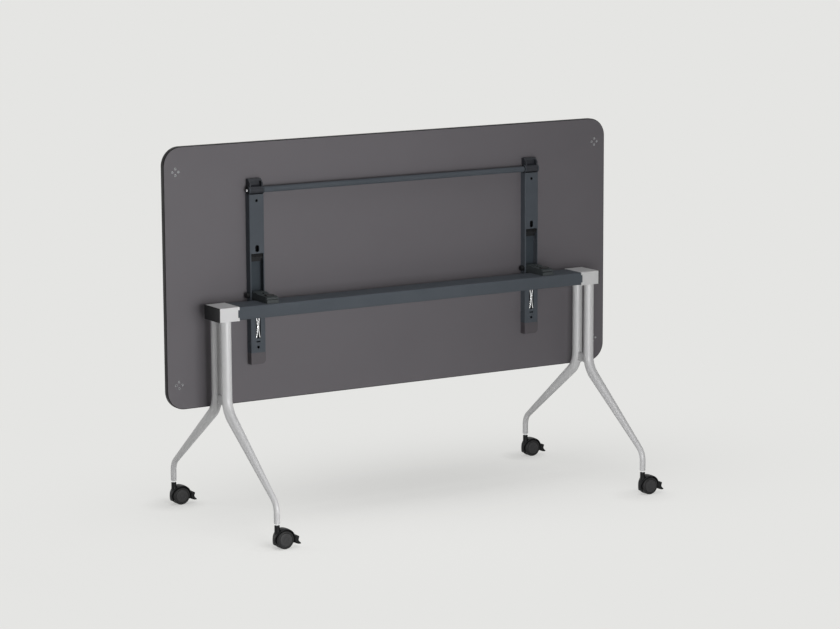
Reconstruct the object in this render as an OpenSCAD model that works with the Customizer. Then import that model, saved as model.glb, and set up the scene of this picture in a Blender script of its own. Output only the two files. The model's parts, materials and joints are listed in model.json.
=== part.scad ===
// Flip-top conference table on castors, drawn with its top tipped up for storage.
// Frame: X along the table, Y from the user's side to the back, Z up, floor at Z = 0.
// The origin is on the floor, midway between the feet.

/* [Worktop] */
// Length of the worktop
top_length = 1600; // [1300:10:2000]
// Depth of the worktop, front edge to rear edge
top_depth = 800; // [700:10:900]
// Plan radius of the worktop's corners
corner_radius = 58; // [20:1:90]
// Thickness of the board between its laminates
core_thickness = 16.4; // [14:0.2:24]
// Thickness of each laminate sheet
laminate_thickness = 0.8; // [0.5:0.1:1.5]
// Thickness of the edge band
band_thickness = 2; // [1:0.5:3]
// Rounding of the edge band's two rims
band_rounding = 1.6; // [0.5:0.1:1.9]

/* [Hinge] */
// Hinge axis above the floor
pivot_height = 690; // [660:1:720]
// Hinge axis behind the middle of the beam
pivot_setback = 71.5; // [68:0.5:80]
// Hinge axis below the underside of the top in use
pivot_drop = 14.5; // [14:0.5:16]
// Hinge axis to the rear edge of the top
rear_reach = 333; // [310:1:360]
// Radius of the hinge pin
pin_radius = 4; // [3:0.5:5]
// Wall of the hinge bush
bush_wall = 2; // [1.5:0.5:2.5]
// Radius of the black boss over the pin's left end
boss_radius = 8.7; // [7:0.1:9]
// Length of that boss
boss_length = 11; // [6:1:20]

/* [Beam and heads] */
// Width of the beam
beam_width = 90; // [80:1:100]
// Height of the beam
beam_height = 40; // [36:1:50]
// Wall of the beam
beam_wall = 2.5; // [2:0.5:4]
// Corner radius of the beam
beam_corner = 4; // [3:0.5:5]
// Length between the outer faces of the two end caps
frame_length = 1380; // [1200:10:1500]
// Length of a head, lips and cap included
head_length = 69; // [66:1:80]
// Thickness of the lips that lap over the beam
head_lip = 1.5; // [1:0.5:3]
// Length of those lips
head_lip_length = 5; // [3:1:8]
// Head wider than the beam, each side
head_flare = 3; // [2:0.5:5]
// Wall of a head
head_wall = 4; // [3:0.5:5]
// Thickness of the end cap
cap_thickness = 3; // [2:0.5:4]
// Length of the tenon inside the beam
tenon_length = 66; // [40:1:90]

/* [Legs and feet] */
// Leg tube radius at the head
leg_top_radius = 16; // [14:0.5:17]
// Leg tube radius at the foot
leg_foot_radius = 9; // [8.5:0.5:12]
// Wall of the leg tube
leg_wall = 2; // [1.5:0.5:2.5]
// Distance between the two tubes of a head, centre to centre
leg_spacing = 64; // [56:1:70]
// Distance between the front and rear castor stems
foot_spacing = 674; // [560:2:760]
// Height of the corner where a leg stands upright again
lower_corner_height = 134; // [128:1:170]
// Bend radius of the upper corner
upper_bend_radius = 80; // [70:1:100]
// Bend radius of the lower corner
lower_bend_radius = 50; // [40:1:60]
// Lower end of the leg tube above the floor
foot_height = 78; // [76:1:90]
// Height of the spacer between two tubes
spacer_height = 28; // [16:1:30]

/* [Rails and latches] */
// Distance between the two rails, centre to centre
rail_spacing = 1000; // [800:10:1060]
// Width of a rail
rail_width = 50; // [48:1:56]
// Depth of a rail below the underside
rail_depth = 25; // [24:0.5:26]
// Sheet thickness of the rail and its base plate
rail_wall = 2; // [1.5:0.5:2.5]
// Steel rail, reach from the hinge axis towards the rear edge
rail_rear_reach = 178; // [170:1:200]
// Length of the plastic cap at the rear end of a rail
rail_cap_length = 36; // [24:1:50]
// Release rod's axis to the front edge of the top
rod_setback = 145.5; // [140:0.5:150]
// Release rod's axis below the hinge plane of the rail
rod_drop = 2.2; // [1.5:0.1:3]
// Radius of the release rod
rod_radius = 9; // [8:0.5:9]
// Swing of the release lever in degrees
release_swing = 27; // [20:1:30]
// Length of the lever's paddle above the rod
paddle_reach = 34.5; // [30:0.5:45]
// Width of the bracket on the beam
bracket_width = 40; // [34:1:41]
// Latch face of the bracket from the hinge axis
latch_reach = 107; // [100:1:110]
// Height of the latch groove
groove_height = 3.6; // [3:0.2:4]

/* [Castors] */
// Radius of a wheel
wheel_radius = 28; // [26:0.5:30]
// Wheel axle behind the swivel axis
wheel_trail = 21; // [18:0.5:26]
// Width of one wheel of the pair
wheel_width = 12; // [9:0.5:16]
// Radius of the side disc of a wheel
disc_radius = 20; // [18:0.5:22]
// Gap between the wheel tread and the hood
hood_gap = 1.6; // [1:0.1:3]
// Wall of the hood
hood_wall = 3.4; // [2.5:0.1:5]
// Radius of the stem housing
housing_radius = 8; // [7:0.5:9]
// Top of the stem housing above the floor
housing_top = 72.5; // [70:0.5:74]
// Radius of the castor stem
stem_radius = 4; // [3:0.5:5]
// Radius of a wheel axle
axle_radius = 3; // [2:0.5:4]

/* [Hidden] */
// Running clearance of a pin in its hole, on the radius
running_gap = 0.05;
// Seat between two still pieces
seat_gap = 0.2;
// Gap between two moving faces
moving_gap = 0.3;
// Overshoot of a cut
cut = 1;

// Beam and heads
beam_gap = 12;
beam_top = pivot_height - beam_gap;
beam_bottom = beam_top - beam_height;
beam_middle = beam_top - beam_height / 2;
head_height = beam_height + 2 * head_lip;
head_width = beam_width + 2 * head_flare;
head_top = beam_top + head_lip;
head_bottom = head_top - head_height;
head_inner = frame_length / 2 - head_length;
head_outer = frame_length / 2 - cap_thickness;
beam_end = head_inner + head_lip_length;
head_notch = 24;
head_bolt_radius = 4;
head_bolt_places = [beam_end - tenon_length / 3, beam_end - tenon_length * 0.7];
beam_inner_corner = max(0.5, beam_corner - beam_wall);

// Legs
leg_x = frame_length / 2 - 30;
foot_y = foot_spacing / 2;
socket_wall = 4;
leg_top = head_top - head_wall - 4;
// Height of the corner where a leg starts to slant
upper_corner_height = pivot_height - 324;
leg_run = (foot_spacing - leg_spacing) / 2;
leg_drop = upper_corner_height - lower_corner_height;
leg_lean = atan(leg_run / leg_drop);
upper_setoff = upper_bend_radius * tan(leg_lean / 2);
lower_setoff = lower_bend_radius * tan(leg_lean / 2);
slant_length = norm([leg_run, leg_drop]) - upper_setoff - lower_setoff;
lap = 0.5;
lap_step = 0.05;

// Top body, in millimetres from the hinge axis
front_reach = top_depth - rear_reach;
rod_reach = front_reach - rod_setback;
top_thickness = core_thickness + 2 * laminate_thickness;
rail_x = rail_spacing / 2;
web_front = pivot_drop - rail_depth;
web_back = web_front + rail_wall;
plate_front = pivot_drop - rail_wall;
channel_width = rail_width - 2 * rail_wall;
hub_radius = rod_radius + 2.5;
web_end = rod_reach - hub_radius - 0.8;
window_width = channel_width - 4;
window_rear = beam_gap + 2;
window_front = latch_reach + 21;
plate_rear = rail_rear_reach + rail_cap_length * 2 / 3;
screw_radius = 2.5;
screw_head_radius = 5;
screw_depth = 11;
screw_places = [rod_reach - 31.5, latch_reach + 36, 17 - rail_rear_reach];

// Bracket and latch
bush_radius = pin_radius + bush_wall;
ear_radius = plate_front - 1;
bracket_bolt_radius = 3;
bracket_bolt_places = [8, 32];
groove_depth = 7;
lip_top = 4.8;
bracket_top = 8;
bar_thickness = 2;
bar_back = plate_front - 0.5;
bar_front = bar_back - bar_thickness;
bar_width = 32;
tooth_reach = 13;
tooth_radius = 2;
tooth_width = 12;
tooth_rest = rod_reach - tooth_reach * sin(release_swing / 2);
latch_travel = 2 * tooth_reach * sin(release_swing / 2);
lever_width = channel_width - 2 * moving_gap;
bush_outer = rod_radius + 1.6;
spring_middle = -99;
spring_length = 66;
rod_end = rail_x + rail_width / 2 + 1.8;

// Threaded sleeves for linking hardware
sleeve_inset_x = 40;
sleeve_inset_y = 76;
sleeve_circle_radius = 10;
sleeve_bore_radius = 2.5;
sleeve_bore_depth = 11;
sleeve_radius = 3.7;
sleeve_length = 12;

// Castors, drawn round the swivel axis
wheel_inner = 5;
wheel_outer = wheel_inner + wheel_width;
axle_bore_depth = wheel_width - 3;
hood_inner = wheel_radius + hood_gap;
hood_outer = hood_inner + hood_wall;
hood_half = wheel_outer - 0.4;
fork_half = wheel_inner - moving_gap - 0.1;
stem_bottom = 52;
stem_grip = 28;
stem_top = foot_height + stem_grip;
pedal_pivot = [wheel_trail + wheel_radius - 6, wheel_radius - 10];
pedal_pin_radius = 1.8;

$fn = 48;

silver = [0.74, 0.74, 0.73];
anthracite = [0.27, 0.29, 0.30];
black = [0.10, 0.10, 0.11];
plated = [0.85, 0.85, 0.86];
board = [0.72, 0.62, 0.47];
laminate = [0.38, 0.37, 0.38];

// Basic forms

module rounded_rect(size, radius) {
    square([size[0] - 2 * radius, size[1]], center = true);
    square([size[0], size[1] - 2 * radius], center = true);
    for (x = [-1, 1], y = [-1, 1])
        translate([x * (size[0] / 2 - radius), y * (size[1] / 2 - radius)])
            circle(r = radius);
}

module slot_2d(length, radius) {
    square([2 * radius, length - 2 * radius], center = true);
    for (s = [-1, 1])
        translate([0, s * (length / 2 - radius)])
            circle(r = radius);
}

// A solid along X, centred, with its outline in Y and Z
module along_x(length) {
    rotate([90, 0, 90])
        linear_extrude(length, center = true)
            children();
}

// A solid along Y, from y = front to y = back, with its outline in X and Z
module along_y(front, back) {
    translate([0, back, 0])
        rotate([90, 0, 0])
            linear_extrude(back - front)
                children();
}

module x_cylinder(radius, from, to) {
    translate([from, 0, 0])
        rotate([0, 90, 0])
            cylinder(r = radius, h = to - from);
}

module y_cylinder(radius, from, to) {
    translate([0, to, 0])
        rotate([90, 0, 0])
            cylinder(r = radius, h = to - from);
}

// Puts a piece drawn round the hinge axis where the tipped top holds it
module on_top_body() {
    translate([0, pivot_setback, pivot_height])
        children();
}

// Puts a piece drawn round the hinge axis of one rail at its rail
module on_rail(side) {
    on_top_body()
        translate([(side == "left" ? -1 : 1) * rail_x, 0, 0])
            children();
}

module at_rails() {
    for (s = [-1, 1])
        translate([s * rail_x, 0, 0])
            children();
}

// Mirrors a right-hand piece to the left
module to_side(side) {
    mirror([side == "left" ? 1 : 0, 0, 0])
        children();
}

// Beam and heads

module beam() {
    color(anthracite)
        difference() {
            translate([0, 0, beam_middle])
                along_x(2 * beam_end - 2 * seat_gap)
                    difference() {
                        rounded_rect([beam_width, beam_height], beam_corner);
                        rounded_rect([beam_width - 2 * beam_wall, beam_height - 2 * beam_wall],
                            beam_inner_corner);
                    }
            for (s = [-1, 1], x = head_bolt_places)
                translate([s * x, 0, beam_bottom - cut])
                    cylinder(r = head_bolt_radius + running_gap, h = beam_wall + 2 * cut);
            at_rails()
                for (y = bracket_bolt_places)
                    translate([0, y, beam_top - beam_wall - cut])
                        cylinder(r = bracket_bolt_radius + running_gap, h = beam_wall + 2 * cut);
        }
}

// The sleeve that laps over the end of the beam, notched front and rear
module head_sleeve() {
    difference() {
        translate([head_inner + head_lip_length / 2 + cut / 2, 0, beam_middle])
            along_x(head_lip_length + cut)
                difference() {
                    square([head_width, head_height], center = true);
                    rounded_rect([beam_width + 2 * seat_gap, beam_height + 2 * seat_gap], beam_corner);
                }
        translate([head_inner, 0, beam_middle])
            along_y(-head_width, head_width)
                rounded_rect([2 * head_lip_length, head_notch], 2);
    }
}

module head() {
    body_length = head_outer - beam_end;
    tenon_width = beam_width - 2 * beam_wall - 2 * seat_gap;
    tenon_height = beam_height - 2 * beam_wall - 2 * seat_gap;
    difference() {
        union() {
            translate([beam_end + body_length / 2, 0, beam_middle])
                along_x(body_length)
                    rounded_rect([head_width, head_height], 1.5);
            translate([beam_end - tenon_length / 2 + cut / 2, 0, beam_middle])
                along_x(tenon_length + cut)
                    rounded_rect([tenon_width, tenon_height], beam_inner_corner);
            head_sleeve();
        }
        difference() {
            translate([beam_end + head_wall + body_length / 2, 0, beam_middle])
                cube([body_length, head_width - 2 * head_wall, head_height - 2 * head_wall],
                    center = true);
            for (s = [-1, 1])
                translate([leg_x, s * leg_spacing / 2, head_bottom])
                    cylinder(r = leg_top_radius + socket_wall, h = head_height);
        }
        translate([beam_end - tenon_length / 2 - cut, 0, beam_middle])
            cube([tenon_length, tenon_width - 2 * head_wall, tenon_height - 2 * head_wall],
                center = true);
        for (s = [-1, 1])
            translate([leg_x, s * leg_spacing / 2, head_bottom - cut])
                cylinder(r = leg_top_radius + running_gap, h = leg_top - head_bottom + cut);
        for (x = head_bolt_places)
            translate([x, 0, beam_bottom])
                cylinder(r = head_bolt_radius + running_gap, h = beam_wall + head_wall + 2 * cut);
    }
}

module head_cap() {
    lip = 5;
    inside_width = head_width - 2 * head_wall - 2 * seat_gap;
    inside_height = head_height - 2 * head_wall - 2 * seat_gap;
    lip_wall = 2;
    translate([head_outer + cap_thickness / 2, 0, beam_middle])
        along_x(cap_thickness)
            rounded_rect([head_width, head_height], 1.5);
    difference() {
        translate([head_outer - lip / 2 + cut / 2, 0, beam_middle])
            along_x(lip + cut)
                difference() {
                    square([inside_width, inside_height], center = true);
                    square([inside_width - 2 * lip_wall, inside_height - 2 * lip_wall], center = true);
                }
        for (s = [-1, 1])
            translate([leg_x, s * leg_spacing / 2, head_bottom])
                cylinder(r = leg_top_radius + socket_wall + seat_gap, h = head_height);
    }
}

module head_bolts() {
    head_thickness = 3.4;
    color(black)
        for (s = [-1, 1], x = head_bolt_places)
            translate([s * x, 0, beam_bottom - head_thickness]) {
                cylinder(r = 7, h = head_thickness);
                cylinder(r = head_bolt_radius, h = head_thickness + beam_wall + head_wall + 4);
            }
}

// Legs

// A length of tube along Z, straight or tapered, its wall a little thinner than that of the
// bends it laps into; wall = 0 makes it solid
module tube(radius_1, radius_2, from, to, wall) {
    translate([0, 0, from])
        difference() {
            cylinder(r1 = radius_1 - lap_step, r2 = radius_2 - lap_step, h = to - from);
            if (wall > 0)
                cylinder(r1 = radius_1 - wall + lap_step, r2 = radius_2 - wall + lap_step, h = to - from);
        }
}

// A bent length of tube that leaves the origin along -Z and turns towards -Y
module bend(radius, bend_radius, turn, wall) {
    translate([0, -bend_radius, 0])
        rotate([-90, 0, 90])
            rotate_extrude(angle = turn, $fn = 48)
                translate([bend_radius, 0])
                    difference() {
                        circle(r = radius);
                        if (wall > 0)
                            circle(r = radius - wall);
                    }
}

// The front right leg; grow thickens it for the pieces that are cut to fit it
module leg_form(wall, grow) {
    $fn = 32;
    top_radius = leg_top_radius + grow;
    foot_radius = leg_foot_radius + grow;
    upper_bend_start = upper_corner_height + upper_setoff;
    lower_bend_end = lower_corner_height - lower_setoff;
    slant_start = upper_setoff * [sin(leg_lean), cos(leg_lean)];
    translate([leg_x, -leg_spacing / 2, 0]) {
        tube(top_radius, top_radius, upper_bend_start - lap, leg_top, wall);
        translate([0, 0, upper_bend_start])
            bend(top_radius, upper_bend_radius, leg_lean, wall);
        translate([0, -slant_start[0], upper_corner_height - slant_start[1]])
            rotate([180 - leg_lean, 0, 0])
                tube(top_radius, foot_radius, -lap, slant_length + lap, wall);
    }
    translate([leg_x, -foot_y, 0]) {
        translate([0, 0, lower_bend_end])
            rotate([180, 0, 0])
                bend(foot_radius, lower_bend_radius, leg_lean, wall);
        tube(foot_radius, foot_radius, foot_height, lower_bend_end + lap, wall);
    }
}

module leg(side, end) {
    color(silver)
        to_side(side)
            mirror([0, end == "rear" ? 1 : 0, 0])
                leg_form(leg_wall, 0);
}

// A spacer that ties the two tubes of a head just above their bends
module leg_spacers() {
    spacer_top = upper_corner_height + upper_setoff;
    color(silver)
        for (side = ["left", "right"])
            to_side(side)
                difference() {
                    translate([leg_x - 6, -leg_spacing / 2, spacer_top - spacer_height])
                        cube([12, leg_spacing, spacer_height]);
                    for (m = [0, 1])
                        mirror([0, m, 0])
                            leg_form(0, seat_gap);
                }
}

module at_feet() {
    for (x = [-1, 1], y = [-1, 1])
        translate([x * leg_x, y * foot_y, 0])
            children();
}

module stem_sockets() {
    socket_radius = leg_foot_radius - leg_wall - running_gap;
    color(black)
        at_feet()
            translate([0, 0, foot_height])
                difference() {
                    cylinder(r = socket_radius, h = stem_top + 2 - foot_height);
                    translate([0, 0, -cut])
                        cylinder(r = stem_radius + running_gap, h = stem_top + cut - foot_height);
                }
}

module castor_stems() {
    color(plated)
        at_feet() {
            translate([0, 0, stem_bottom])
                cylinder(r = stem_radius, h = stem_top - stem_bottom);
            translate([0, 0, housing_top + moving_gap])
                cylinder(r = stem_radius + 1.4, h = foot_height - housing_top - moving_gap);
        }
}

// Brackets on the beam, drawn round the hinge axis

module bracket_outline() {
    beam_back = beam_width / 2 - pivot_setback;
    ramp = 2;
    slope_start = 34;
    slope_end = slope_start + 14;
    difference() {
        union() {
            circle(r = ear_radius);
            polygon([
                [-latch_reach, -beam_gap],
                [beam_back, -beam_gap],
                [beam_back, -ear_radius],
                [0, -ear_radius],
                [0, ear_radius],
                [-slope_start, ear_radius],
                [-slope_end, bracket_top],
                [4 + groove_depth - latch_reach, bracket_top],
                [6 - latch_reach, lip_top],
                [ramp - latch_reach, lip_top],
                [-latch_reach, lip_top - ramp]
            ]);
        }
        translate([-latch_reach - cut, -groove_height / 2])
            square([groove_depth + cut, groove_height]);
    }
}

module bracket() {
    head_seat = -4;
    difference() {
        along_x(bracket_width)
            bracket_outline();
        x_cylinder(bush_radius + running_gap, -bracket_width, bracket_width);
        for (y = bracket_bolt_places)
            translate([0, y - pivot_setback, 0]) {
                translate([0, 0, -beam_gap - cut])
                    cylinder(r = bracket_bolt_radius + running_gap, h = beam_gap);
                translate([0, 0, head_seat])
                    cylinder(r = bracket_bolt_radius + 3, h = 2 * ear_radius);
            }
    }
}

module bracket_bolts() {
    head_seat = -4;
    head_thickness = 4;
    color(plated)
        on_top_body()
            at_rails()
                for (y = bracket_bolt_places)
                    translate([0, y - pivot_setback, head_seat]) {
                        cylinder(r = bracket_bolt_radius + 2.5, h = head_thickness);
                        translate([0, 0, -beam_gap - beam_wall])
                            cylinder(r = bracket_bolt_radius, h = beam_gap + beam_wall);
                    }
}

// Rubber pads that the base plate and the window of the rail come to rest on
module bracket_bumpers() {
    pad_width = 26;
    front_pad = 16;
    rear_pad = 11;
    color(black)
        on_top_body()
            at_rails() {
                translate([-pad_width / 2, 15 - latch_reach, bracket_top])
                    cube([pad_width, front_pad, plate_front - moving_gap - bracket_top]);
                translate([-pad_width / 2, web_front - 4.5, moving_gap - window_rear])
                    cube([pad_width, rear_pad, window_rear - moving_gap - ear_radius]);
            }
}

module hinge_pins() {
    wall_outside = rail_width / 2;
    color(plated)
        on_top_body()
            at_rails() {
                x_cylinder(pin_radius, -wall_outside - boss_length + 3, wall_outside + cut);
                x_cylinder(pin_radius + 2.5, wall_outside, wall_outside + 3);
            }
}

module hinge_bushes() {
    flange = channel_width / 2 - seat_gap;
    color(black)
        on_top_body()
            at_rails()
                for (m = [0, 1])
                    mirror([m, 0, 0])
                        difference() {
                            union() {
                                x_cylinder(bush_radius, seat_gap, flange);
                                x_cylinder(bush_radius + 2, bracket_width / 2, flange);
                            }
                            x_cylinder(pin_radius + running_gap, -cut, flange + cut);
                        }
}

module hinge_bosses() {
    wall_outside = rail_width / 2;
    color(black)
        on_top_body()
            at_rails()
                difference() {
                    x_cylinder(boss_radius, -wall_outside - boss_length, -wall_outside);
                    x_cylinder(pin_radius + running_gap, -wall_outside - boss_length + 2.5, cut - wall_outside);
                }
}

// Worktop, drawn round the hinge axis with the underside at y = pivot_drop

module top_sheet(from, to, inset) {
    translate([0, 0, (front_reach - rear_reach) / 2])
        along_y(pivot_drop + from, pivot_drop + to)
            rounded_rect([top_length - 2 * inset, top_depth - 2 * inset], corner_radius - inset);
}

module at_sleeves() {
    for (x = [-1, 1], z = [sleeve_inset_y - rear_reach, front_reach - sleeve_inset_y], turn = [0:90:270])
        translate([x * (top_length / 2 - sleeve_inset_x), pivot_drop, z])
            rotate([0, turn, 0])
                translate([sleeve_circle_radius, 0, 0])
                    children();
}

// Bright steel sleeves, closed at the bottom, that take the screws of a linking device
module linking_sleeves() {
    color(plated)
        on_top_body()
            at_sleeves()
                difference() {
                    y_cylinder(sleeve_radius, 0, sleeve_length);
                    y_cylinder(sleeve_bore_radius, -cut, sleeve_bore_depth);
                }
}

// Blind holes in the underside: sleeves in the corners, screws under the rails
module underside_holes() {
    at_sleeves()
        y_cylinder(sleeve_radius + running_gap, -cut, sleeve_length);
    at_rails()
        for (z = screw_places)
            translate([0, pivot_drop, z])
                y_cylinder(screw_radius + running_gap, -cut, screw_depth + 0.5);
}

module top_core() {
    color(board)
        on_top_body()
            difference() {
                top_sheet(laminate_thickness, top_thickness - laminate_thickness, band_thickness);
                underside_holes();
            }
}

module worktop_laminate() {
    color(laminate)
        on_top_body()
            top_sheet(top_thickness - laminate_thickness, top_thickness, band_thickness);
}

module underside_laminate() {
    color(laminate)
        on_top_body()
            difference() {
                top_sheet(0, laminate_thickness, band_thickness);
                underside_holes();
            }
}

// Section of the edge band, its inner side at x = 0 and its rims rounded on the outer side
module band_section() {
    intersection() {
        square([band_thickness, top_thickness]);
        union() {
            square([band_thickness - band_rounding, top_thickness]);
            translate([0, band_rounding])
                square([band_thickness, top_thickness - 2 * band_rounding]);
            for (y = [band_rounding, top_thickness - band_rounding])
                translate([band_thickness - band_rounding, y])
                    circle(r = band_rounding);
        }
    }
}

// One corner of the band and the straight side that follows it
module band_quarter(half) {
    straight = 2 * (half[1] - corner_radius);
    translate([half[0] - corner_radius, half[1] - corner_radius, 0])
        rotate_extrude(angle = 90, $fn = 96)
            translate([corner_radius - band_thickness, 0])
                band_section();
    translate([half[0] - band_thickness, straight / 2, 0])
        rotate([90, 0, 0])
            linear_extrude(straight)
                band_section();
}

module edge_band() {
    color(black)
        on_top_body()
            translate([0, pivot_drop + top_thickness, (front_reach - rear_reach) / 2])
                rotate([90, 0, 0])
                    for (turn = [0, 180]) {
                        rotate(turn)
                            band_quarter([top_length / 2, top_depth / 2]);
                        rotate(turn + 90)
                            band_quarter([top_depth / 2, top_length / 2]);
                    }
}

// Rails, drawn round the hinge axis of one rail

module rail_section() {
    bend = 2.5;
    difference() {
        union() {
            translate([-rail_width / 2, web_front + bend])
                square([rail_width, rail_depth - bend]);
            translate([bend - rail_width / 2, web_front])
                square([rail_width - 2 * bend, rail_depth]);
            for (s = [-1, 1])
                translate([s * (rail_width / 2 - bend), web_front + bend])
                    circle(r = bend);
        }
        translate([-channel_width / 2, web_back])
            square([channel_width, rail_depth]);
    }
}

// Openings in the web of the rail, in X and Z
module web_openings() {
    spring_slot = [17, spring_length + 4];
    strap_slot = [14, 4];
    access_radius = 4.5;
    translate([0, (window_front - window_rear) / 2])
        rounded_rect([window_width, window_front + window_rear], 2);
    translate([0, spring_middle])
        rounded_rect(spring_slot, 3);
    translate([0, screw_places[2] + 17])
        square(strap_slot, center = true);
    translate([0, screw_places[1]])
        slot_2d(22, 6.5);
    for (place = [screw_places[0], screw_places[2]])
        translate([0, place])
            circle(r = access_radius);
}

module rail_ears() {
    ear = hub_radius + 1.2;
    for (s = [-1, 1])
        translate([s * (rail_width - rail_wall) / 2, 0, 0])
            along_x(rail_wall) {
                translate([web_front + 2.5, web_end - cut])
                    square([rail_depth - 2.5, rod_reach - web_end + cut]);
                translate([-rod_drop, rod_reach])
                    circle(r = ear);
            }
}

module rail() {
    difference() {
        union() {
            translate([0, 0, -rail_rear_reach])
                linear_extrude(web_end + rail_rear_reach)
                    rail_section();
            rail_ears();
        }
        along_y(web_front - cut, web_back + cut)
            web_openings();
        x_cylinder(pin_radius + running_gap, -rail_width, rail_width);
        translate([0, -rod_drop, rod_reach])
            x_cylinder(bush_outer + running_gap, -rail_width, rail_width);
        translate([-rail_width, 4, screw_places[2] + 15])
            cube([2 * rail_width, 6, 4]);
    }
}

module base_plate() {
    plate_width = channel_width - 2 * seat_gap;
    difference() {
        translate([-plate_width / 2, plate_front, -plate_rear])
            cube([plate_width, rail_wall, plate_rear + web_end]);
        for (z = screw_places)
            translate([0, plate_front, z])
                y_cylinder(screw_radius + running_gap, -cut, rail_wall + cut);
    }
}

module rail_end_caps() {
    corner = 13;
    plug = 10;
    rear = rail_rear_reach + rail_cap_length;
    color(black)
        on_top_body()
            at_rails()
                difference() {
                    union() {
                        along_y(web_front, pivot_drop) {
                            translate([-rail_width / 2, corner - rear])
                                square([rail_width, rail_cap_length - corner]);
                            translate([-rail_width / 2, -rear])
                                square([rail_width - corner, rail_cap_length]);
                            translate([rail_width / 2 - corner, corner - rear])
                                circle(r = corner);
                        }
                        translate([seat_gap - channel_width / 2, web_back + seat_gap, -rail_rear_reach - cut])
                            cube([channel_width - 2 * seat_gap, plate_front - web_back - 2 * seat_gap, plug + cut]);
                    }
                    translate([-channel_width / 2, plate_front - seat_gap, -plate_rear - seat_gap])
                        cube([channel_width, rail_depth, plate_rear]);
                }
}

module rail_screws() {
    head_thickness = 2.8;
    color(plated)
        on_top_body()
            at_rails()
                for (z = screw_places)
                    translate([0, plate_front, z]) {
                        y_cylinder(screw_head_radius, -head_thickness, 0);
                        y_cylinder(screw_radius, -cut, rail_wall + screw_depth);
                    }
}

// Bright springs in the lower slot of each rail: two bowed strips on one rivet
module hold_up_springs() {
    half_length = spring_length / 2;
    bow = 4;
    strip = 1.6;
    arc = (half_length * half_length + bow * bow) / 2 / bow;
    color(plated)
        on_top_body()
            at_rails()
                translate([0, 0, spring_middle]) {
                    y_cylinder(3, web_front - 0.5, plate_front);
                    along_y(web_front + 0.5, web_front + 6)
                        for (m = [0, 1])
                            mirror([m, 0])
                                intersection() {
                                    translate([arc + 1.2, 0])
                                        difference() {
                                            circle(r = arc, $fn = 240);
                                            circle(r = arc - strip, $fn = 240);
                                        }
                                    square([20, 2 * half_length], center = true);
                                }
                }
}

// Release rod, levers and latches

module at_rod() {
    translate([0, -rod_drop, rod_reach])
        children();
}

module release_rod() {
    bore_depth = 20;
    color(anthracite)
        on_top_body()
            at_rod()
                difference() {
                    x_cylinder(rod_radius, -rod_end, rod_end);
                    x_cylinder(rod_radius - 2, bore_depth - rod_end, rod_end - bore_depth);
                    x_cylinder(screw_radius + running_gap, -rod_end - cut, rod_end + cut);
                }
}

module rod_bushes() {
    flange = 1.5;
    color(black)
        on_top_body()
            at_rod()
                for (s = [-1, 1], m = [0, 1])
                    translate([s * rail_x, 0, 0])
                        mirror([m, 0, 0])
                            difference() {
                                union() {
                                    x_cylinder(bush_outer, channel_width / 2, rail_width / 2 + cut / 2);
                                    x_cylinder(bush_outer + 1.2, rail_width / 2, rail_width / 2 + flange);
                                }
                                x_cylinder(rod_radius + running_gap, 0, rail_width);
                            }
}

module rod_end_washers() {
    color(black)
        on_top_body()
            at_rod()
                for (s = [0, 1])
                    mirror([s, 0, 0])
                        difference() {
                            x_cylinder(rod_radius - 1, rod_end, rod_end + 1.5);
                            x_cylinder(screw_radius + running_gap, rod_end - cut, rod_end + 2 * cut);
                        }
}

module rod_end_screws() {
    color(plated)
        on_top_body()
            at_rod()
                for (s = [0, 1])
                    mirror([s, 0, 0]) {
                        x_cylinder(screw_radius, rod_end - 16, rod_end + 2);
                        x_cylinder(4.3, rod_end + 1.5, rod_end + 4.2);
                    }
}

// Outline of the lever's paddle in Y and Z, from the rod's axis
module paddle_outline() {
    face = web_front + rod_drop;
    back = pivot_drop + rod_drop - 0.5;
    polygon([
        [face, 0],
        [hub_radius - 0.2, 0],
        [hub_radius - 0.2, 12],
        [back, 14],
        [back, paddle_reach],
        [face + 12, paddle_reach],
        [face, paddle_reach - 12]
    ]);
}

module release_lever() {
    face = web_front + rod_drop;
    pocket_width = 36;
    difference() {
        union() {
            along_x(lever_width) {
                circle(r = hub_radius);
                paddle_outline();
            }
            rotate([-release_swing / 2, 0, 0])
                along_x(tooth_width) {
                    translate([0, -1.4])
                        square([tooth_reach, 2.8]);
                    translate([tooth_reach, 0])
                        circle(r = tooth_radius);
                }
        }
        along_x(pocket_width)
            polygon([
                [face - 2 * cut, 10.5],
                [face + 6, 10.5],
                [face + 14, 15],
                [face + 14, 28.5],
                [face - 2 * cut, 28.5]
            ]);
        x_cylinder(rod_radius + running_gap, -lever_width, lever_width);
    }
}

// Latch: a slotted bar with a ribbed nose block and a tongue that enters the bracket's groove
module latch() {
    tongue_tip = latch_reach - 4;
    block_rear = latch_reach + 6;
    block_length = 18;
    block_front = web_back + moving_gap;
    rib_pitch = 4.6;
    bar_front_end = tooth_rest + tooth_radius + 4.3;
    slot_radius = screw_head_radius + 0.5;
    slot_length = latch_travel + 2 * slot_radius + 1;
    difference() {
        union() {
            along_y(bar_front, bar_back)
                difference() {
                    translate([-bar_width / 2, block_rear])
                        square([bar_width, bar_front_end - block_rear]);
                    for (place = [screw_places[0], screw_places[1]])
                        translate([0, place - latch_travel / 2])
                            slot_2d(slot_length, slot_radius);
                    translate([0, tooth_rest])
                        square([tooth_width + 1, 2 * tooth_radius + 2 * moving_gap], center = true);
                }
            translate([-bracket_width / 2, block_front, block_rear])
                cube([bracket_width, bar_front - block_front, block_length]);
            translate([2 - bracket_width / 2, -1.5, tongue_tip])
                cube([bracket_width - 4, 3, block_rear - tongue_tip + cut]);
        }
        for (i = [-4:4])
            translate([i * rib_pitch - 1.1, block_front - cut, block_rear + 4])
                cube([2.2, 3 + cut, block_length]);
    }
}

// Castors, drawn round the swivel axis with the trail towards +X

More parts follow.
